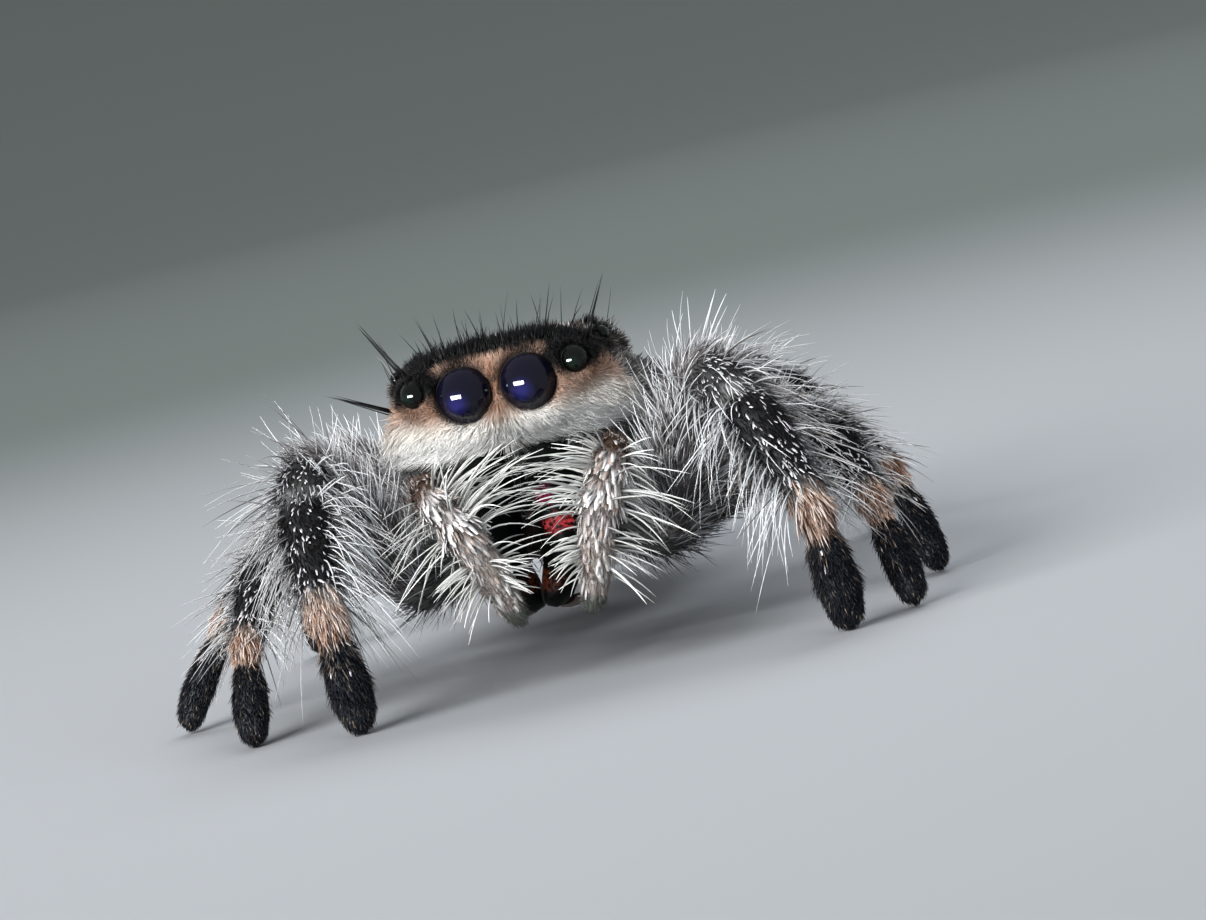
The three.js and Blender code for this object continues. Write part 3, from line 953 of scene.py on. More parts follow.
def rooted(g, given):
    """Points spread over the skin, each with the stem, bend, sides and tint of its own hair."""
    seeds = [g.maths("ADD", given["Seed"], DRAW_STEP * k) for k in range(DRAWS)]
    inputs = {"Mesh": given["Skin"], "Seed": seeds[0], "Density": g.read("density")}
    node_type = "GeometryNodeDistributePointsOnFaces"
    spots = g.add(node_type, inputs, distribute_method="RANDOM").outputs
    stem = g.read("stem", "FLOAT_VECTOR")
    length = g.vector("LENGTH", stem)
    jitter = g.random((-1, -1, -1), (1, 1, 1), seeds[1], "FLOAT_VECTOR")
    astray = g.plus(stem, jitter, g.maths("MULTIPLY", length, given["Spread"]))
    least = g.maths("SUBTRACT", 1.0, given["Vary"])
    most = g.maths("ADD", 1.0, given["Vary"])
    size = g.maths("MULTIPLY", length, g.random(least, most, seeds[2]))
    stem = g.times(g.vector("NORMALIZE", astray), size)
    sway = g.random((-1, -1, -1), (1, 1, 1), seeds[3], "FLOAT_VECTOR")
    bend = g.times(g.read("bend", "FLOAT_VECTOR"), g.random(*BEND_RANGE, seeds[4]))
    wide = g.vector("NORMALIZE", g.vector("CROSS_PRODUCT", stem, spots["Normal"]))
    deep = g.vector("NORMALIZE", g.vector("CROSS_PRODUCT", stem, wide))
    girth = g.maths("MULTIPLY", g.read("girth"), g.random(*GIRTH_RANGE, seeds[5]))
    tone = g.random(given["Tone Low"], given["Tone High"], seeds[6])
    odd = g.maths("LESS_THAN", g.random(0.0, 1.0, seeds[7]), g.read("share"))
    colour = g.blend(odd, g.read("tint", "FLOAT_COLOR"), g.read("accent", "FLOAT_COLOR"))
    points = spots["Points"]
    for name, value in (
        ("root", g.add("GeometryNodeInputPosition").outputs[0]),
        ("hair_wide", g.times(wide, girth)),
        ("hair_deep", g.times(deep, g.maths("MULTIPLY", girth, given["Depth"]))),
        ("hair_bend", g.plus(bend, sway, g.maths("MULTIPLY", length, given["Wave"]))),
        ("stem", stem),
    ):
        points = g.store(points, name, value, "FLOAT_VECTOR")
    return g.store(points, "tint", g.times(colour, tone), "FLOAT_COLOR")


def coat_tree():
    """Hairs over a skin: each is a slim cone bent along its own curve, with its own tone."""
    tree = bpy.data.node_groups.new("coat", "GeometryNodeTree")
    g = Nodes(tree)
    tree.interface.new_socket("Skin", in_out="INPUT", socket_type="NodeSocketGeometry")
    for name, (kind, value) in COAT_INPUTS.items():
        socket = tree.interface.new_socket(name, in_out="INPUT", socket_type=f"NodeSocket{kind}")
        if value is not None:
            socket.default_value = value
    tree.interface.new_socket("Coat", in_out="OUTPUT", socket_type="NodeSocketGeometry")
    given = g.add("NodeGroupInput").outputs

    sizes = {"Vertices": 3, "Side Segments": given["Joints"], "Depth": 1.0}
    ends = {"Radius Top": given["Blunt"], "Radius Bottom": 1.0}
    cone = g.add("GeometryNodeMeshCone", {**sizes, **ends}).outputs["Mesh"]
    here = g.add("GeometryNodeInputPosition").outputs[0]
    cone = g.store(cone, "hair_form", here, "FLOAT_VECTOR")
    inputs = {"Points": rooted(g, given), "Instance": cone}
    hairs = g.add("GeometryNodeInstanceOnPoints", inputs).outputs["Instances"]
    hairs = g.add("GeometryNodeRealizeInstances", {"Geometry": hairs}).outputs["Geometry"]

    form = g.add("ShaderNodeSeparateXYZ", {"Vector": g.read("hair_form", "FLOAT_VECTOR")}).outputs
    up = form["Z"]
    swell = g.maths("MULTIPLY_ADD", up, HAIR_SWELL, 1.0)
    spot = g.read("root", "FLOAT_VECTOR")
    for name, amount in (
        ("stem", up),
        ("hair_bend", g.maths("MULTIPLY", up, up)),
        ("hair_wide", g.maths("MULTIPLY", form["X"], swell)),
        ("hair_deep", g.maths("MULTIPLY", form["Y"], swell)),
    ):
        spot = g.plus(spot, g.read(name, "FLOAT_VECTOR"), amount)
    inputs = {"Geometry": hairs, "Position": spot}
    hairs = g.add("GeometryNodeSetPosition", inputs).outputs["Geometry"]
    hairs = g.store(hairs, "tip", up)

    aside = g.maths("MULTIPLY_ADD", form["Y"], PATCH_SLANT, form["X"])
    height = g.maths("MULTIPLY", g.maths("SUBTRACT", up, 0.5), PATCH_TALL)
    inputs = {"X": g.maths("MULTIPLY", aside, PATCH_WIDE), "Y": height}
    patch = g.add("ShaderNodeCombineXYZ", inputs).outputs["Vector"]
    on_map = g.vector("ADD", g.read("chart", "FLOAT_VECTOR"), patch)
    hairs = g.store(hairs, "OFBake", on_map, "FLOAT2", "CORNER")
    hairs = g.add("GeometryNodeSetShadeSmooth", {"Geometry": hairs}).outputs["Geometry"]
    inputs = {"Geometry": hairs, "Material": given["Finish"]}
    hairs = g.add("GeometryNodeSetMaterial", inputs).outputs["Geometry"]
    g.add("NodeGroupOutput", {"Coat": hairs})
    return tree


COAT = coat_tree()
skin_corners = rows_of(skin_mesh.loops, "vertex_index", 1, np.int32).ravel()
face_starts = rows_of(skin_mesh.polygons, "loop_start", 1, np.int32)
face_sizes = rows_of(skin_mesh.polygons, "loop_total", 1, np.int32).ravel()
skin_squares = skin_corners[face_starts[face_sizes == 4] + np.arange(4)]


def with_alpha(colours):
    return np.column_stack([colours, np.ones(COUNT)])


def growing_skin(name, density, fields):
    """The faces of the skin where a coat grows, with the coat's fields on their points."""
    corners = skin_squares[density[skin_squares].max(1) > 0]
    used, index = np.unique(corners, return_inverse=True)
    mesh = mesh_of(name, P[used], index.reshape(-1, 4).tolist())
    for field, kind, values in fields:
        add_field(mesh, field, kind, values[used])
    share = chart[corners]
    wraps = np.ptp(share[..., 0], axis=1) > 0.5
    share[wraps, :, 0] += share[wraps, :, 0] < 0.5
    spots = cell_low[corners[:, :1]] + np.clip(share, 0, 1) * cell_size[corners[:, :1]]
    add_field(mesh, "chart", "FLOAT2", spots, "CORNER")
    return mesh


def grow(
    name, slot, where, density, girth, stem, bend=(0, 0, 0), colour=None, accent=None, share=0, **inputs
):
    """Grows one piece of coat on some points of the skin: density is hairs to a square millimetre,
    and share is how many of them have the accent colour. The inputs are the coat tree's own."""
    colour = tint if colour is None else np.broadcast_to(colour, P.shape)
    accent = colour if accent is None else np.broadcast_to(accent, P.shape)
    density = np.where(where & ~under_lens, whole(density), 0)
    fields = [
        ("density", "FLOAT", density),
        ("stem", "FLOAT_VECTOR", stem),
        ("bend", "FLOAT_VECTOR", np.broadcast_to(bend, P.shape)),
        ("girth", "FLOAT", whole(girth) / 2),
        ("share", "FLOAT", whole(share)),
        ("tint", "FLOAT_COLOR", with_alpha(colour)),
        ("accent", "FLOAT_COLOR", with_alpha(accent)),
    ]
    thing = new_object(name, growing_skin(name, density, fields))
    grower = thing.modifiers.new("Coat", "NODES")
    grower.node_group = COAT
    chosen = {key.replace("_", " ").title(): value for key, value in inputs.items()}
    chosen["Finish"] = hair_finish
    for socket in COAT.interface.items_tree:
        if socket.in_out == "INPUT" and socket.name in chosen:
            grower[socket.identifier] = chosen[socket.name]
    graph = bpy.context.evaluated_depsgraph_get()
    grown = bpy.data.meshes.new_from_object(thing.evaluated_get(graph), depsgraph=graph)
    thing.modifiers.remove(grower)
    swap_mesh(thing, grown)
    for field in SPENT:
        if field in grown.attributes:
            grown.attributes.remove(grown.attributes[field])
    hand_over(thing, hair_finish)


# ---- Finishes -----------------------------------------------------------------------------


def finish(name, roughness=0.5, specular=0.5):
    """A new material, a short way to its tree, and its shader's sockets."""
    material = bpy.data.materials.new(name)
    material.use_nodes = True
    shader = material.node_tree.nodes["Principled BSDF"].inputs
    shader["Roughness"].default_value = roughness
    shader["Specular IOR Level"].default_value = specular
    return material, Nodes(material.node_tree), shader


def make_hair_finish():
    """Hair: the coat's own tint, darker at the root as painted shade of the coat round it, and paler at the
    tip.
    """
    material, g, shader = finish("hair", specular=0.08)
    # Painted shade: each hair darkens towards its root, where the coat round it would shade it.
    shade = g.ramp(g.stored("tip"), start=0.62, stop=1.12)
    g.feed(shader["Base Color"], g.times(g.stored("tint", "Color"), shade))
    return material


def make_skin_finish():
    """Skin under the coat: its markings broken by a fine down and pores, and darkened overall as painted
    shade under the coat.
    """
    material, g, shader = finish("skin", specular=0.2)
    down = g.grain(g.where(), scale=14000.0, detail=4.0)
    # The down's grain also darkens the whole skin below its tint: partly texture, partly painted shade
    # under the coat.
    shade = g.ramp(down, start=0.35)
    g.feed(shader["Base Color"], g.times(g.stored("tint", "Color"), shade))
    g.feed(shader["Roughness"], g.ramp(down, start=0.5, stop=0.8))
    g.feed(shader["Normal"], g.relief(down, strength=0.6, distance=0.00003))
    return material


hair_finish = make_hair_finish()
skin_finish = make_skin_finish()

# ---- Hair by hair -------------------------------------------------------------------------

GRAVITY = -UP
SAG = 0.16  # how far a long hair sags to the floor, as a share of its length
# Heights on the head in millimetres over the middle of the main eyes.
FACE_TOP = 0.75
CHIN = -1.06
SKIRT_FOOT = -1.7
THROAT = -2.2

rough_ground = noise(0.5, 21)
x, aside, back_of_brow, height = R[:, 0], np.abs(R[:, 0]), R[:, 1], R[:, 2]
limb_lie = flat(place.axis)
black = tint.mean(1) < 0.05
black_patch = tint.mean(1) < 0.06
front = smoothstep(-0.15, -0.45, N[:, 1]) * (back_of_brow < 1.3)
before = is_head & (front > 0.05)
on_face = before & (height > CHIN) & (height < FACE_TOP)
on_skirt = before & (height <= CHIN) & (height > SKIRT_FOOT)


def finer(share):
    """Full on the first pair of legs, and this share on the others."""
    return np.where(first_pair, 1.0, share)


def lain(lie, lift, length, forward=0.0, down=0.0):
    """Hairs lifted off the skin by an angle in degrees. They bend on along it and back down to it,
    by these shares of their length."""
    stem = times(raised(lie, lift), length)
    return {"stem": stem, "bend": times(lie, forward * length) - times(N, down * length)}


def hanging(lift, length, forward):
    """Long hairs of a limb, lifted off it by an angle in degrees, that bend on along it and a
    little to the floor."""
    stem = times(raised(limb_lie, lift), length)
    return {"stem": stem, "bend": times(place.axis, forward * length) + times(GRAVITY, SAG * length)}


def out_of(way):
    """How far out to either side of a limb each point is, across its length and a direction."""
    return (place.out * unit(np.cross(place.axis, way))).sum(1)


def grow_face():
    """Short dense fur that lies away from the eyes, up over them and down and out below them."""
    lower = smoothstep(0.05, -0.35, height)
    outward = np.sign(x) * smoothstep(0.0, 0.4, aside)
    way = np.column_stack([outward * (0.35 + 0.75 * lower), 0.0 * x, 1 - 1.75 * lower])
    bridge = smoothstep(0.3, 0.14, aside) * smoothstep(0.5, 0.35, np.abs(height))
    lie = flat(way + times(off_eye, 3.0 * rim * (1 - bridge)))
    edge = smoothstep(-0.8, -1.0, height)
    cheek = smoothstep(1.6, 2.4, aside) * lower
    length = (0.16 + 0.12 * lower + 0.16 * edge + 0.3 * cheek) * (1 - 0.35 * rim)
    grow(
        "coat_face", "head_coat", on_face, density=1900 * front, girth=0.0175,
        **lain(lie, 20 + 6 * lower + 16 * cheek, length, 0.25, 0.22), seed=3, joints=2,
        tone_low=0.85, tone_high=1.2,
    )


def grow_skirt():
    """Longer black fur that hangs from under the face over the jaws; its black is partly painted shade
    under the face's edge.
    """
    grow(
        "coat_skirt", "head_coat", on_skirt, density=420, girth=0.027,
        **lain(flat((0.0, -0.4, -1.0)), 30, 0.75, forward=0.2), accent=GREY, share=0.1, seed=7,
        vary=0.45,
    )


def grow_collars():
    """A ring of short fur that stands up round each lens."""
    bridge = (aside < 0.2) & (np.abs(height) < 0.42)
    ring = is_head & (rim > np.where(by_small_eye, 0.2, 0.4)) & ~bridge
    way = unit(gaze + 0.5 * off_eye + 0.1 * UP)
    dark = pick(off_eye[:, 2] < -0.35, mix(tint, SOOT, 0.4), SOOT)
    grow(
        "coat_collars", "head_coat", ring, density=1100, girth=0.022,
        stem=times(way, np.where(by_small_eye, 0.15, 0.1)), bend=off_eye * 0.03,
        colour=pick(by_small_eye, dark, tint), seed=9, joints=2, spread=0.25, vary=0.35,
    )


def grow_head():
    """Fur that lies back over the head, upright and black along the brow."""
    rest = is_head & ~on_face & ~on_skirt & (height > THROAT)
    brow_band = smoothstep(0.35, 0.6, height) * smoothstep(1.4, 0.3, back_of_brow)
    under = smoothstep(0.0, -1.0, height)
    length = 0.26 + 0.06 * rough_ground + 0.14 * under
    hairs = lain(flat((0.0, 1.0, 0.05)), 20 + 34 * brow_band + 12 * under, length, 0.3, 0.15)
    hairs["stem"] = times(hairs["stem"], np.where(black, 0.75 + 0.6 * brow_band, 1.0))
    grow(
        "coat_head", "head_coat", rest, density=np.where(black, 620, 230),
        girth=np.where(black, 0.026, 0.034), **hairs, accent=(0.4, 0.39, 0.37),
        share=np.where(black, 0.0, 0.25), seed=5, joints=2, spread=0.28,
    )


def grow_belly():
    """Fur that lies back over the belly, above and below."""
    back = flat((0.0, 1.0, -0.15))
    length = 0.36 + 0.08 * rough_ground + 0.1 * smoothstep(0.3, 0.0, belly_length)
    length *= 1 - 0.6 * smoothstep(abdomen_high[1] - 0.2, abdomen_high[1] + 0.1, P[:, 1])
    hairs = lain(back, 24 + 8 * rough_ground, length, 0.25, 0.2)
    upper = N[:, 2] >= 0.1
    for half, mask, seed in (("upper", upper, 11), ("lower", ~upper, 12)):
        grow(
            f"coat_belly_{half}", "abdomen_coat", is_belly & mask, density=175, girth=0.038, **hairs,
            accent=(0.42, 0.41, 0.4), share=0.13, seed=seed, spread=0.25, vary=0.35,
        )


def grow_legs():
    """Grey coat that lifts off the femur and shin of each leg, and lies down on its black patches."""
    furry = is_femur | is_shin
    bare = black_patch & furry
    lower = np.where(is_foot, 1.0, is_shin * smoothstep(0.88, 0.97, t))
    full = (0.36 + 0.07 * rough_ground) * finer(0.82)
    length = np.where(bare, 0.2, full) * (1 - 0.3 * lower)
    lift = np.where(bare, 16, 38 + 8 * rough_ground) * (1 - 0.45 * lower)
    hairs = lain(limb_lie, lift, length, 0.3, 0.12)
    grown = furry & ~(is_shin & (t > 0.9))
    for side, sign in SIDES.items():
        grow(
            f"coat_legs_{side}", "leg_coat", grown & (side_of == sign),
            density=np.where(bare, 150, 188), girth=0.033, **hairs, accent=PEWTER,
            share=np.where(bare, 0.03, 0.3 - 0.14 * lower), seed=17 + sign, spread=0.32, vary=0.45,
            wave=0.14,
        )


def grow_ankles():
    """Streaky tan and cream hairs that hang over the top of each foot, and dark ones among them."""
    ankle = (is_shin & (t > 0.88)) | (is_foot & (t < 0.2))
    length = (0.3 + 0.06 * rough_ground) * finer(0.85)
    hairs = lain(limb_lie, 24, length, 0.2, 0.14)
    for layer, density, colour, accent, share in (
        (1, 230, None, BLOSSOM, 0.47),
        (2, 60, (0.13, 0.07, 0.05), TAN, 0.3),
    ):
        grow(
            f"coat_ankles_{layer}", "leg_coat", ankle, density, girth=0.036, **hairs, colour=colour,
            accent=accent, share=share, seed=26 + layer, spread=0.24, wave=0.12,
        )


def grow_feet():
    """Dense black fur on the feet, and brown hairs among it, more of them toward the ankle."""
    foot = is_foot & (t >= 0.15)
    length = (0.21 + 0.04 * rough_ground - 0.07 * smoothstep(0.6, 0.95, t)) * finer(0.85)
    grow(
        "coat_feet", "foot_coat", foot, density=520, girth=0.03,
        **lain(limb_lie, 21 + 6 * rough_ground, length, down=0.1), accent=(0.12, 0.095, 0.075),
        share=0.05 + 0.2 * smoothstep(0.6, 0.3, t), seed=23, joints=2, spread=0.26, wave=0.1,
        tone_low=0.6, tone_high=2.2,
    )


def grow_fringe():
    """Long hairs that stand out on both sides of each leg and over its knee."""
    both = smoothstep(0.35, 0.8, np.abs(out_of((0.0, 0.35, 1.0))))
    top = smoothstep(0.3, 0.85, place.out[:, 2]) * np.where(is_shin, smoothstep(0.4, 0.1, t), 0.6)
    ahead = place.out @ unit(np.array((0.1, -0.95, 0.3)))
    strength = np.maximum(both, top)
    strength *= np.where(is_shin, 1 - 0.85 * smoothstep(0.45, 0.75, ahead), 1.0)
    inner = smoothstep(0.3, -0.3, place.out[:, 0] * side_of)
    amount = np.where(is_shin, 62, np.where(is_femur, 40, 0)) * strength
    amount *= finer(0.8) * (0.8 + 0.3 * inner) * 1.1
    length = (0.95 + 0.2 * inner + 0.2 * noise(0.9, 31)) * finer(0.72)
    length *= np.where(is_femur, 0.75, 1.0)
    paleness = np.clip(0.3 + 0.6 * inner + 0.4 * noise(1.1, 33), 0, 1)
    for side, sign in SIDES.items():
        grow(
            f"fringe_{side}", "leg_coat", is_leg & (side_of == sign), density=amount, girth=0.034,
            **hanging(58, length, 0.36),
            colour=mix((0.36, 0.355, 0.36), (0.76, 0.78, 0.8), paleness), accent=(0.12, 0.115, 0.11),
            share=0.16, seed=37 + sign, joints=5, spread=0.26, depth=0.8, wave=0.24, blunt=0.06,
        )


def grow_palp_down():
    """Short fine hairs under the scales of the feelers."""
    grow(
        "palp_down", "palp_coat", is_palp, density=520, girth=0.022,
        **lain(limb_lie, 22, np.where(is_tarsus, 0.16, 0.22)), seed=51, joints=1, vary=0.35,
    )


def grow_palp_scales():
    """Leaf-like scales over the down, which point to the tip and flare in rosettes."""
    upper = smoothstep(0.08, 0.16, t) * smoothstep(0.34, 0.28, t) * is_shank
    lower = smoothstep(0.4, 0.46, t) * smoothstep(0.8, 0.74, t) * is_shank
    last = smoothstep(0.8, 0.86, t) * is_shank
    rosette = np.maximum(np.maximum(upper, lower), 0.8 * last)
    flare = upper * smoothstep(0.12, 0.26, t) + lower * smoothstep(0.5, 0.7, t)
    length = np.where(is_tarsus, 0.22, 0.25 + 0.05 * rosette + 0.07 * flare) + 0.03 * rough_ground
    on_tarsus = 78 * smoothstep(0.9, 0.78, t) * smoothstep(0.02, 0.1, t)
    amount = np.where(is_tarsus, on_tarsus, 30 + 140 * rosette)
    amount *= 1 - 0.85 * is_shank * palp_bands(t)
    grow(
        "palp_scales", "palp_coat", is_palp, density=amount, girth=0.1 + 0.015 * rosette,
        **lain(limb_lie, np.where(is_tarsus, 17, 13 + 26 * flare), length, down=0.14),
        colour=mix(mix((0.52, 0.49, 0.485), CHALK, flare), (0.63, 0.605, 0.59), is_tarsus),
        accent=(0.34, 0.28, 0.25), share=np.where(is_palp_femur, 0.6, 0.34 - 0.1 * rosette), seed=53,
        spread=0.28, vary=0.3, depth=0.16, blunt=0.25,
    )


def grow_palp_bristles():
    """Long bristles that stand out on both sides of each feeler like the teeth of a comb."""
    both = smoothstep(0.35, 0.75, np.abs(out_of((0.0, 1.0, 0.0))))
    inner = smoothstep(-0.1, 0.6, -place.out[:, 0] * side_of)
    amount = (50 + 28 * inner) * both * smoothstep(0.74, 0.5, np.where(is_tarsus, t, 0))
    wrist = np.where(is_tarsus, smoothstep(0.24, 0.14, t), is_shank * smoothstep(0.78, 0.88, t))
    amount *= 1 - 0.92 * wrist
    length = np.where(is_tarsus, 0.92 - 0.5 * t - 0.05 * inner, 1.4 - 0.2 * t + 0.25 * inner)
    length += 0.1 * noise(0.6, 55)
    length *= np.where(is_tarsus, 1.0, 0.4 + 0.6 * smoothstep(0.05, 0.34, t))
    lift = np.where(is_tarsus, 94 - 20 * t, 100 - 10 * t)
    grow(
        "palp_bristles", "palp_coat", is_shank | is_tarsus, density=amount, girth=0.055,
        **hanging(lift, length, 0.14), colour=(0.68, 0.69, 0.67), accent=(0.42, 0.42, 0.41), share=0.3,
        seed=59, joints=6, spread=0.07, vary=0.25, depth=0.6, wave=0.09, blunt=0.1,
    )


def grow_setae():
    """Small blunt white scales dotted over the black patches of the legs."""
    crowd = smoothstep(0.6, 0.85, t) + smoothstep(0.42, 0.3, t) + smoothstep(0.3, 0.8, noise(0.5, 63))
    on_foot = is_foot & (t > 0.24) & (t < 0.55)
    on_patch = black_patch & is_shin
    grow(
        "leg_setae", "leg_coat", on_patch | on_foot, density=np.where(on_patch, 14 + 44 * crowd, 5),
        girth=0.052, **lain(limb_lie, 26, 0.16, down=0.125), colour=LILAC, accent=FROST, share=0.3,
        seed=61, joints=2, spread=0.35, vary=0.3, depth=0.3, blunt=0.25,
    )


def grow_bristles():
    """Upright bristles along the front of the head and down its sides."""
    top = is_head & (height > 0.62) & (back_of_brow < 1.7)
    sides = is_head & (height > 0.2) & (aside > 1.9) & (back_of_brow > 0.9) & (back_of_brow < 3.5)
    way = unit(np.column_stack([0.22 * x, np.full(COUNT, 0.25), np.ones(COUNT)]))
    grow(
        "head_bristles", "head_coat", top | sides, density=np.where(top, 10, 5), girth=0.025,
        stem=times(way, 0.82 + 0.15 * noise(0.5, 65)), bend=GRAVITY * 0.05, colour=(0.02, 0.019, 0.02),
        accent=(0.3, 0.29, 0.28), share=0.04, seed=67, joints=4, spread=0.2, vary=0.35, depth=0.9,
        wave=0.15,
    )


# The pencils of black hair: foot and tip from the middle of the main eyes, width and hairs.
PENCILS = (
    ((2.03, 0.5, 0.75), (2.36, 0.42, 1.6), 0.05, 9),
    ((-1.81, 0.3, 0.84), (-2.28, 0.26, 1.68), 0.045, 8),
    ((-2.38, 0.6, 0.02), (-3.2, 0.6, 0.5), 0.04, 3),
)


def grow_horn_tufts():
    """A black pencil of hair at each corner of the head, drawn together to its tip."""
    for number, (foot, tip, width, count) in enumerate(PENCILS, 1):
        foot = P[span(R - foot).argmin()]
        grow(
            f"horn_tuft_{number}", "head_coat", span(P - foot) < width,
            density=count / (math.pi * width**2), girth=0.032,
            stem=brow + tip - foot - 0.9 * (P - foot), colour=SOOT, seed=70 + number, joints=4,
            spread=0.012, vary=0.1, depth=0.8, wave=0.015,
        )


def grow_under():
    """Sparse hairs over the coxae, the breast and round the mouth."""
    breast = is_head & (height <= THROAT)
    lie = pick(is_coxa, limb_lie, flat((0.0, 0.6, -0.5)))
    fore = is_coxa & (pair <= 2)
    length = np.where(fore, 0.5, 0.34) + 0.06 * rough_ground
    grow(
        "coat_under", "under_coat", breast | is_coxa, density=74, girth=0.032,
        stem=times(raised(lie, np.where(fore, 44, 34)), length), bend=lie * 0.1,
        colour=(0.085, 0.085, 0.09), accent=SILVER, share=0.3, seed=91, spread=0.35,
    )


grow_face()
grow_skirt()
grow_collars()
grow_head()
grow_belly()
grow_legs()
grow_ankles()
grow_feet()
grow_fringe()
grow_palp_down()
grow_palp_scales()
grow_palp_bristles()
grow_setae()
grow_bristles()
grow_horn_tufts()
grow_under()

# ---- The skin as a piece ------------------------------------------------------------------

add_field(skin_mesh, "tint", "FLOAT_COLOR", with_alpha(tint))
flesh = TRUNK + SPINNERETS + [limb.node for limb in limbs]
hand_over(new_object("skin", skin_mesh), skin_finish, flesh)

# ---- Lenses -------------------------------------------------------------------------------

LENS_SIDES = 56
LENS_WAY = (0.21, 0.13, 0.95)  # a way that no lens looks, to measure turns from
CUP_TURNS = range(20, 91, 10)
SEAT = [(0.995, 0.07), (0.975, 0.12)]  # the rim's distance out and ahead, as shares of the radius
DOME_SPREAD = 66
DOME_RINGS = 28
# The painted glow of reflected light in each lens: its way off the line of sight, and its depth and reach
# as shares of the radius.
PAINTED_GLOW_WAY = (-0.3, 0, -0.32)
PAINTED_GLOW_DEPTH = 0.8
PAINTED_GLOW_REACH = 0.6
# For the main eyes and the small ones: the lens's own dark colour, and the colour of its painted glow.
LENS_AND_GLOW_COLOURS = {
    True: ((0.0021, 0.002, 0.0072), (0.011, 0.011, 0.085)),
    False: ((0.001, 0.0013, 0.0012), (0.0015, 0.009, 0.005)),
}


def turned(profile, middle, axis):
    """A closed shape turned about an axis; the profile gives distance out and distance ahead."""
    across = unit(np.cross(axis, LENS_WAY))
    over = np.cross(axis, across)
    rings = [circle(middle + axis * ahead, across, over, out, LENS_SIDES) for out, ahead in profile]
    return np.concatenate(rings), ring_faces(len(rings), LENS_SIDES)


def lens_profile(radius):
    """From the back of the cup, over a narrow seat, then over the domed cornea."""
    cup = [(math.sin(a), -math.cos(a)) for a in np.radians(CUP_TURNS)]
    bow = SEAT[-1][0] / math.sin(math.radians(DOME_SPREAD))
    sink = SEAT[-1][1] - bow * math.cos(math.radians(DOME_SPREAD))
    turns = np.radians(np.linspace(DOME_SPREAD - 2, 1.5, DOME_RINGS))
    dome = [(bow * math.sin(a), sink + bow * math.cos(a)) for a in turns]
    return [(radius * out, radius * ahead) for out, ahead in cup + SEAT + dome]


def lens_finish(eye):
    """A dark lens in a matt black cup, with a painted glow of reflected light deep in it, low on the side
    of the light.
    """
    material, g, shader = finish(f"lens_{eye.name}", specular=0.3)
    where = g.where()
    # Painted light: a mottled glow of reflected light, set into the lens's colour.
    spot = eye.middle + PAINTED_GLOW_DEPTH * eye.radius * unit(eye.gaze + np.array(PAINTED_GLOW_WAY))
    gap = g.vector("DISTANCE", where, tuple(spot * MM))
    near = g.ramp(gap, high=PAINTED_GLOW_REACH * eye.radius * MM, start=1.0, stop=0.0, kind="SMOOTHSTEP")
    cells = g.grain(where, scale=5200.0, detail=2.0)
    near = g.maths("MULTIPLY", near, g.maths("MULTIPLY_ADD", cells, 0.8, 0.6))
    lens = g.maths("SUBTRACT", 1.0, g.stored("seat"))
    g.feed(shader["Base Color"], g.times(g.blend(near, *LENS_AND_GLOW_COLOURS[eye.main]), lens))
    g.feed(shader["Roughness"], g.maths("MULTIPLY_ADD", g.stored("seat"), 0.75, 0.05))
    return material


def make_lens(eye):
    name = f"lens_{eye.name}"
    mesh = mesh_of(name, *turned(lens_profile(eye.size), eye.middle, eye.gaze))
    shade_smooth(mesh)
    seat = [1.0] * (len(CUP_TURNS) + len(SEAT)) + [0.0] * DOME_RINGS
    add_field(mesh, "seat", "FLOAT", np.repeat(seat, LENS_SIDES))
    hand_over(new_object(name, mesh), lens_finish(eye), [f"eye_{eye.name}"])


# ---- Jaws, fangs and claws ----------------------------------------------------------------

JAW_DROP = 0.42
JAW_LEAN = 0.45
FANG_DROP = 0.16
DROP_HEIGHT = 1.4  # how high over a jaw's end it starts to hang, and to lean
LEAN_HEIGHT = 1.0
MIDLINE_GAP = 0.02
# The painted iridescent sheen on the jaws: distance off the midline, height over the jaw's end, size and
# colour.
PAINTED_JAW_SHEEN = (
    (0.58, 1.2, 0.37, (0.62, 0.05, 0.06)),
    (0.42, 1.72, 0.34, (0.2, 0.008, 0.05)),
    (0.1, 0.2, 0.4, (0.1, 0.025, 0.012)),
)
SHEEN_PATCH_REACH = 0.35
SHEEN_PATCH_FORM = (1.0, 0.8, 1.7)
CLAW_STATIONS = 9
CLAW_SIDES = 8
CLAW_ROOT = 0.7  # how far past a foot's last ring the claws stand, as a share of its radius
CLAW_APART = 0.06
CLAW_RAISE = 0.12
CLAW_LENGTH = 0.2
CLAW_DROP = 0.14
CLAW_THICK, CLAW_FINE = 0.032, 0.006
CLAW_FLOOR = 0.03
STEEP_FOOT = 0.2  # a foot whose way has less than this along the floor points its claws to the front

jaw_low = box_mm("chelicera_left")[0][2]


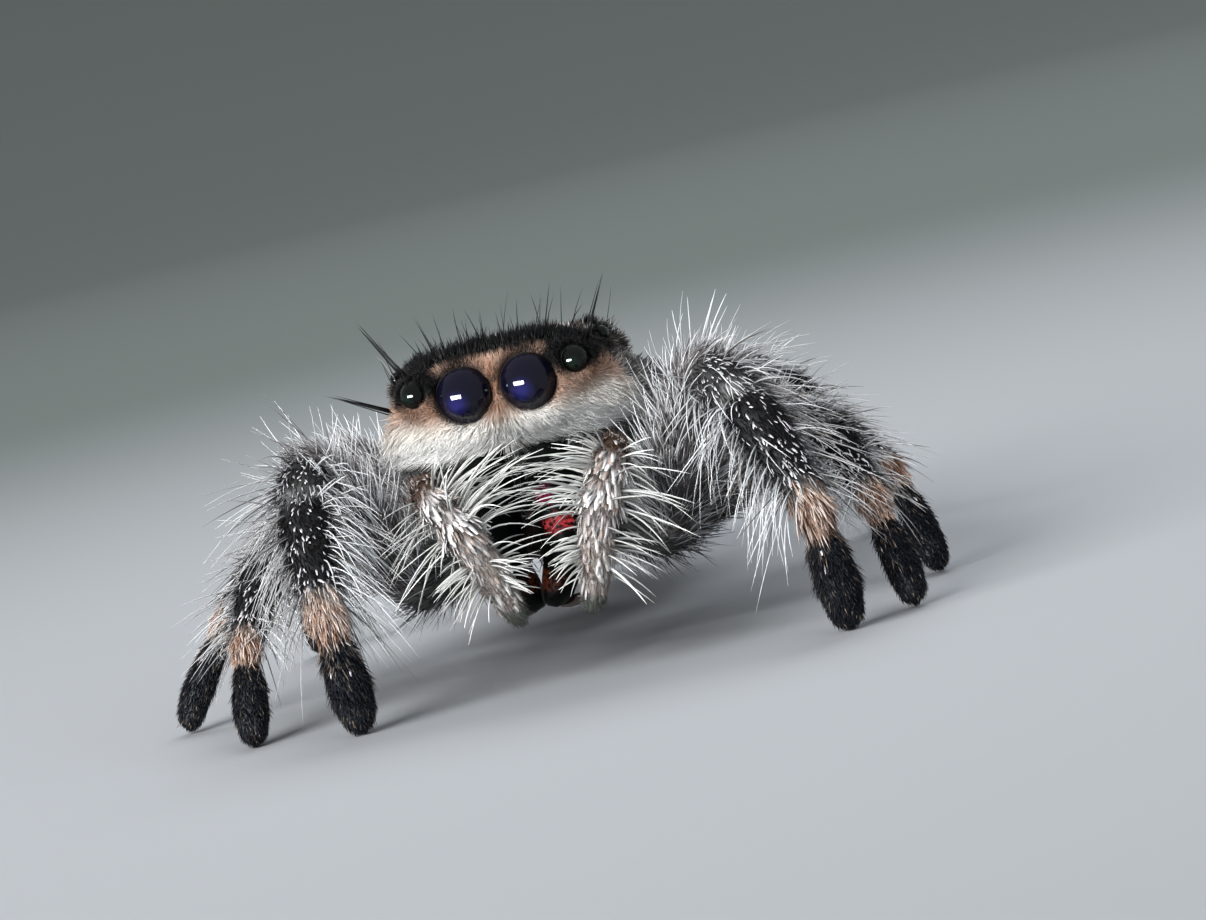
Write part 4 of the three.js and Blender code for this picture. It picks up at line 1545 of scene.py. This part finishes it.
def make_jaw_finish():
    """Jaws: black shell, a faint painted green sheen, and painted iridescent patches of red, magenta and
    dull orange.
    """
    material, g, shader = finish("jaw_shell", specular=0.03)
    where = g.where()
    ripple = g.grain(where, scale=3500.0, detail=3.0)
    wrinkles = g.grain(where, scale=16000.0, detail=3.0)
    flecks = g.ramp(wrinkles, low=0.4, high=0.58)
    # Painted sheen: the black turns faintly green in places.
    shade = g.blend(ripple, (0.001, 0.001, 0.001), (0.0018, 0.003, 0.0024))
    stray = g.maths("MULTIPLY", g.maths("SUBTRACT", ripple, 0.5), 0.6 * MM)
    corners = triangles("chelicera_left").reshape(-1, 3)
    # Painted sheen: patches of iridescent colour, broken into flecks, over the black.
    for aside, height, size, colour in PAINTED_JAW_SHEEN:
        gap = np.hypot(corners[:, 0] - midline - aside, corners[:, 2] - jaw_low - height)
        front = corners[gap < SHEEN_PATCH_REACH, 1].min()
        spot = np.array((midline + aside, front, jaw_low + height)) * MM
        gap = g.vector("MULTIPLY", g.vector("SUBTRACT", where, tuple(spot)), SHEEN_PATCH_FORM)
        gap = g.maths("ADD", g.vector("LENGTH", gap), stray)
        edge = {"low": 0.5 * size * MM, "high": 1.2 * size * MM}
        near = g.ramp(gap, **edge, start=1.0, stop=0.0, kind="SMOOTHSTEP")
        shade = g.blend(g.maths("MULTIPLY", near, flecks), shade, colour)
    g.feed(shader["Base Color"], shade)
    g.feed(shader["Normal"], g.relief(wrinkles, strength=0.5, distance=0.00002))
    return material


def make_horn_finish():
    """Horn: dark red-brown with fine streaks under a thin polish."""
    material, g, shader = finish("horn", roughness=0.2)
    streak = g.grain(g.where(), scale=9000.0, detail=3.0)
    g.feed(shader["Base Color"], g.blend(streak, (0.005, 0.0025, 0.002), (0.045, 0.015, 0.008)))
    shader["Coat Weight"].default_value = 0.3
    return material


def hung(points, drop, lean, sign):
    """The lower end of a jaw let down a little and leant to its neighbour, up to the line between."""
    heights = points[:, 2].copy()
    points[:, 2] -= drop * smoothstep(jaw_low + DROP_HEIGHT, jaw_low, heights)
    most = np.maximum(sign * (points[:, 0] - midline) - MIDLINE_GAP, 0)
    shift = lean * smoothstep(jaw_low + LEAN_HEIGHT, jaw_low, heights)
    points[:, 0] -= sign * np.clip(shift, 0, most)
    return points


def make_shell(name, node, slot, material, hang, grain, rounds, inset):
    """A smooth shell made over a node's solid, drawn in a little under it and hung."""
    thing = new_object(name, joined(name, [node_part(node)]))
    mesh = smoothed(thing, grain, rounds)
    mesh.name = name
    move_points(mesh, hung(points_of(mesh) - inset * normals_of(mesh), *hang))
    shade_smooth(mesh)
    swap_mesh(thing, mesh)
    hand_over(thing, material, [node])


def claws_of(foot):
    """The two small hooks at a foot's tip."""
    tip = foot.points[-1] + foot.way * foot.radii[-1] * CLAW_ROOT
    side = unit(np.cross(foot.way, UP))
    level = foot.way * (1, 1, 0)
    ahead = unit(level) if span(level) > STEEP_FOOT else unit(np.cross(UP, side))
    share = np.linspace(0, 1, CLAW_STATIONS)[:, None]
    radii = np.linspace(CLAW_THICK, CLAW_FINE, CLAW_STATIONS)
    hooks = []
    for sign in (1, -1):
        root = tip + side * sign * CLAW_APART + UP * CLAW_RAISE
        curve = root + ahead * CLAW_LENGTH * share + UP * (CLAW_FLOOR - CLAW_DROP * share**2)
        curve[:, 2] = np.maximum(curve[:, 2], CLAW_FLOOR)
        hooks.append(tube(curve, radii, CLAW_SIDES))
    return hooks


def make_jaws_and_claws():
    jaw_finish = make_jaw_finish()
    horn_finish = make_horn_finish()
    for side, sign in SIDES.items():
        jaw = (f"jaw_{side}", f"chelicera_{side}", "jaw", jaw_finish, (JAW_DROP, JAW_LEAN, sign))
        make_shell(*jaw, grain=0.05, rounds=12, inset=0.03)
        fang = (f"fang_tooth_{side}", f"fang_{side}", "horn", horn_finish, (FANG_DROP, 0.0, sign))
        make_shell(*fang, grain=0.025, rounds=5, inset=0.06)
    hooks = [hook for limb in limbs if limb.kind == "foot" for hook in claws_of(limb)]
    mesh = joined("claws", hooks)
    shade_smooth(mesh)
    hand_over(new_object("claws", mesh), horn_finish)


for eye in eyes:
    make_lens(eye)
make_jaws_and_claws()

# ---- Studio, in metres --------------------------------------------------------------------

AIM = Vector((2.0, -5.687, 3.75)) * MM
AZIMUTH, ELEVATION, ROLL = math.radians(7), math.radians(6), math.radians(13.4)
DISTANCE = 0.072
LENS_MM, FILM_MM = 116.06, 36
FLOOR_RINGS = (0.001, 0.05, 0.15, 0.3)
FLOOR_EDGE = FLOOR_RINGS[-1]
RISE, WALL = 0.25, 0.15
RISE_TURNS = range(10, 91, 10)
SWEEP_SIDES = 96
NEAR_FLOOR, FAR_FLOOR = (0.25, 0.26, 0.275), (0.10, 0.112, 0.108)
NEAR_REACH, FAR_REACH = 0.01, 0.11
# Soft lights: the way to each from the head, how far off it is, its size, power and colour.
SOFTBOXES = {
    "window": ((-0.52, -0.85, 0.03), 0.045, (0.033, 0.0105), 0.14, (0.95, 0.97, 1)),
    "key": ((-0.66, -0.75, 0.45), 0.36, (0.27, 0.27), 3.6, (1, 0.99, 0.975)),
    "fill": ((0.8, -0.7, 0.45), 0.36, (0.26, 0.26), 0.6, (0.9, 0.94, 1)),
    "top": ((0.1, 0.6, 0.9), 0.36, (0.33, 0.26), 1.35, (0.96, 0.98, 1)),
}
AMBIENT = (0.8, 0.84, 0.86, 1)
AMBIENT_POWER = 0.55


def make_sweep():
    """A round pale floor that curves up into a soft grey backdrop, far off on every side."""
    profile = [(out, 0.0) for out in FLOOR_RINGS]
    for a in np.radians(RISE_TURNS):
        profile.append((FLOOR_EDGE + RISE * math.sin(a), RISE * (1 - math.cos(a))))
    profile.append((FLOOR_EDGE + RISE, RISE + WALL))
    across, over = np.array([1.0, 0.0, 0.0]), np.array([0.0, 1.0, 0.0])
    rings = [circle(UP * height, across, over, out, SWEEP_SIDES) for out, height in profile]
    inward = [face[::-1] for face in ring_faces(len(rings), SWEEP_SIDES)[:-1]]
    mesh = mesh_of("sweep", np.concatenate(rings), inward)
    shade_smooth(mesh)
    material, g, shader = finish("sweep", roughness=0.9, specular=0.0)
    distance = g.vector("LENGTH", g.vector("MULTIPLY", g.where(), (1, 1, 0)))
    far = g.ramp(distance, NEAR_REACH, FAR_REACH, kind="SMOOTHSTEP")
    g.feed(shader["Base Color"], g.blend(far, NEAR_FLOOR, FAR_FLOOR))
    mesh.materials.append(material)
    thing = new_object("sweep", mesh)
    thing.visible_glossy = False


def make_lights():
    """A window that only shines in the lenses and shell, three soft lights that only light the
    coat, and a pale surround."""
    for name, (way, distance, size, power, colour) in SOFTBOXES.items():
        light = bpy.data.lights.new(name, "AREA")
        light.shape = "RECTANGLE"
        light.size, light.size_y = size
        light.energy = power
        light.color = colour
        thing = new_object(name, light)
        way = Vector(way).normalized()
        thing.location = Vector(brow * MM) + way * distance
        thing.rotation_mode = "QUATERNION"
        thing.rotation_quaternion = way.to_track_quat("Z", "Y")
        thing.visible_camera = False
        thing.visible_diffuse = name != "window"
        thing.visible_glossy = name == "window"
    world = bpy.data.worlds.new("studio")
    world.use_nodes = True
    backdrop = world.node_tree.nodes["Background"].inputs
    backdrop["Color"].default_value = AMBIENT
    backdrop["Strength"].default_value = AMBIENT_POWER
    bpy.context.scene.world = world
    bpy.context.scene.view_settings.view_transform = "Standard"


def make_camera():
    camera = bpy.data.cameras.new("camera")
    camera.lens = LENS_MM
    camera.sensor_width = FILM_MM
    camera.clip_start = 0.005
    camera.clip_end = 20
    thing = new_object("camera", camera)
    level = math.cos(ELEVATION)
    ways = (math.sin(AZIMUTH) * level, -math.cos(AZIMUTH) * level, math.sin(ELEVATION))
    back = Vector(ways)
    thing.rotation_mode = "QUATERNION"
    upright = (-back).to_track_quat("-Z", "Y")
    thing.rotation_quaternion = upright @ Matrix.Rotation(-ROLL, 4, "Z").to_quaternion()
    thing.location = AIM + back * DISTANCE
    bpy.context.scene.camera = thing


make_sweep()
make_lights()
make_camera()
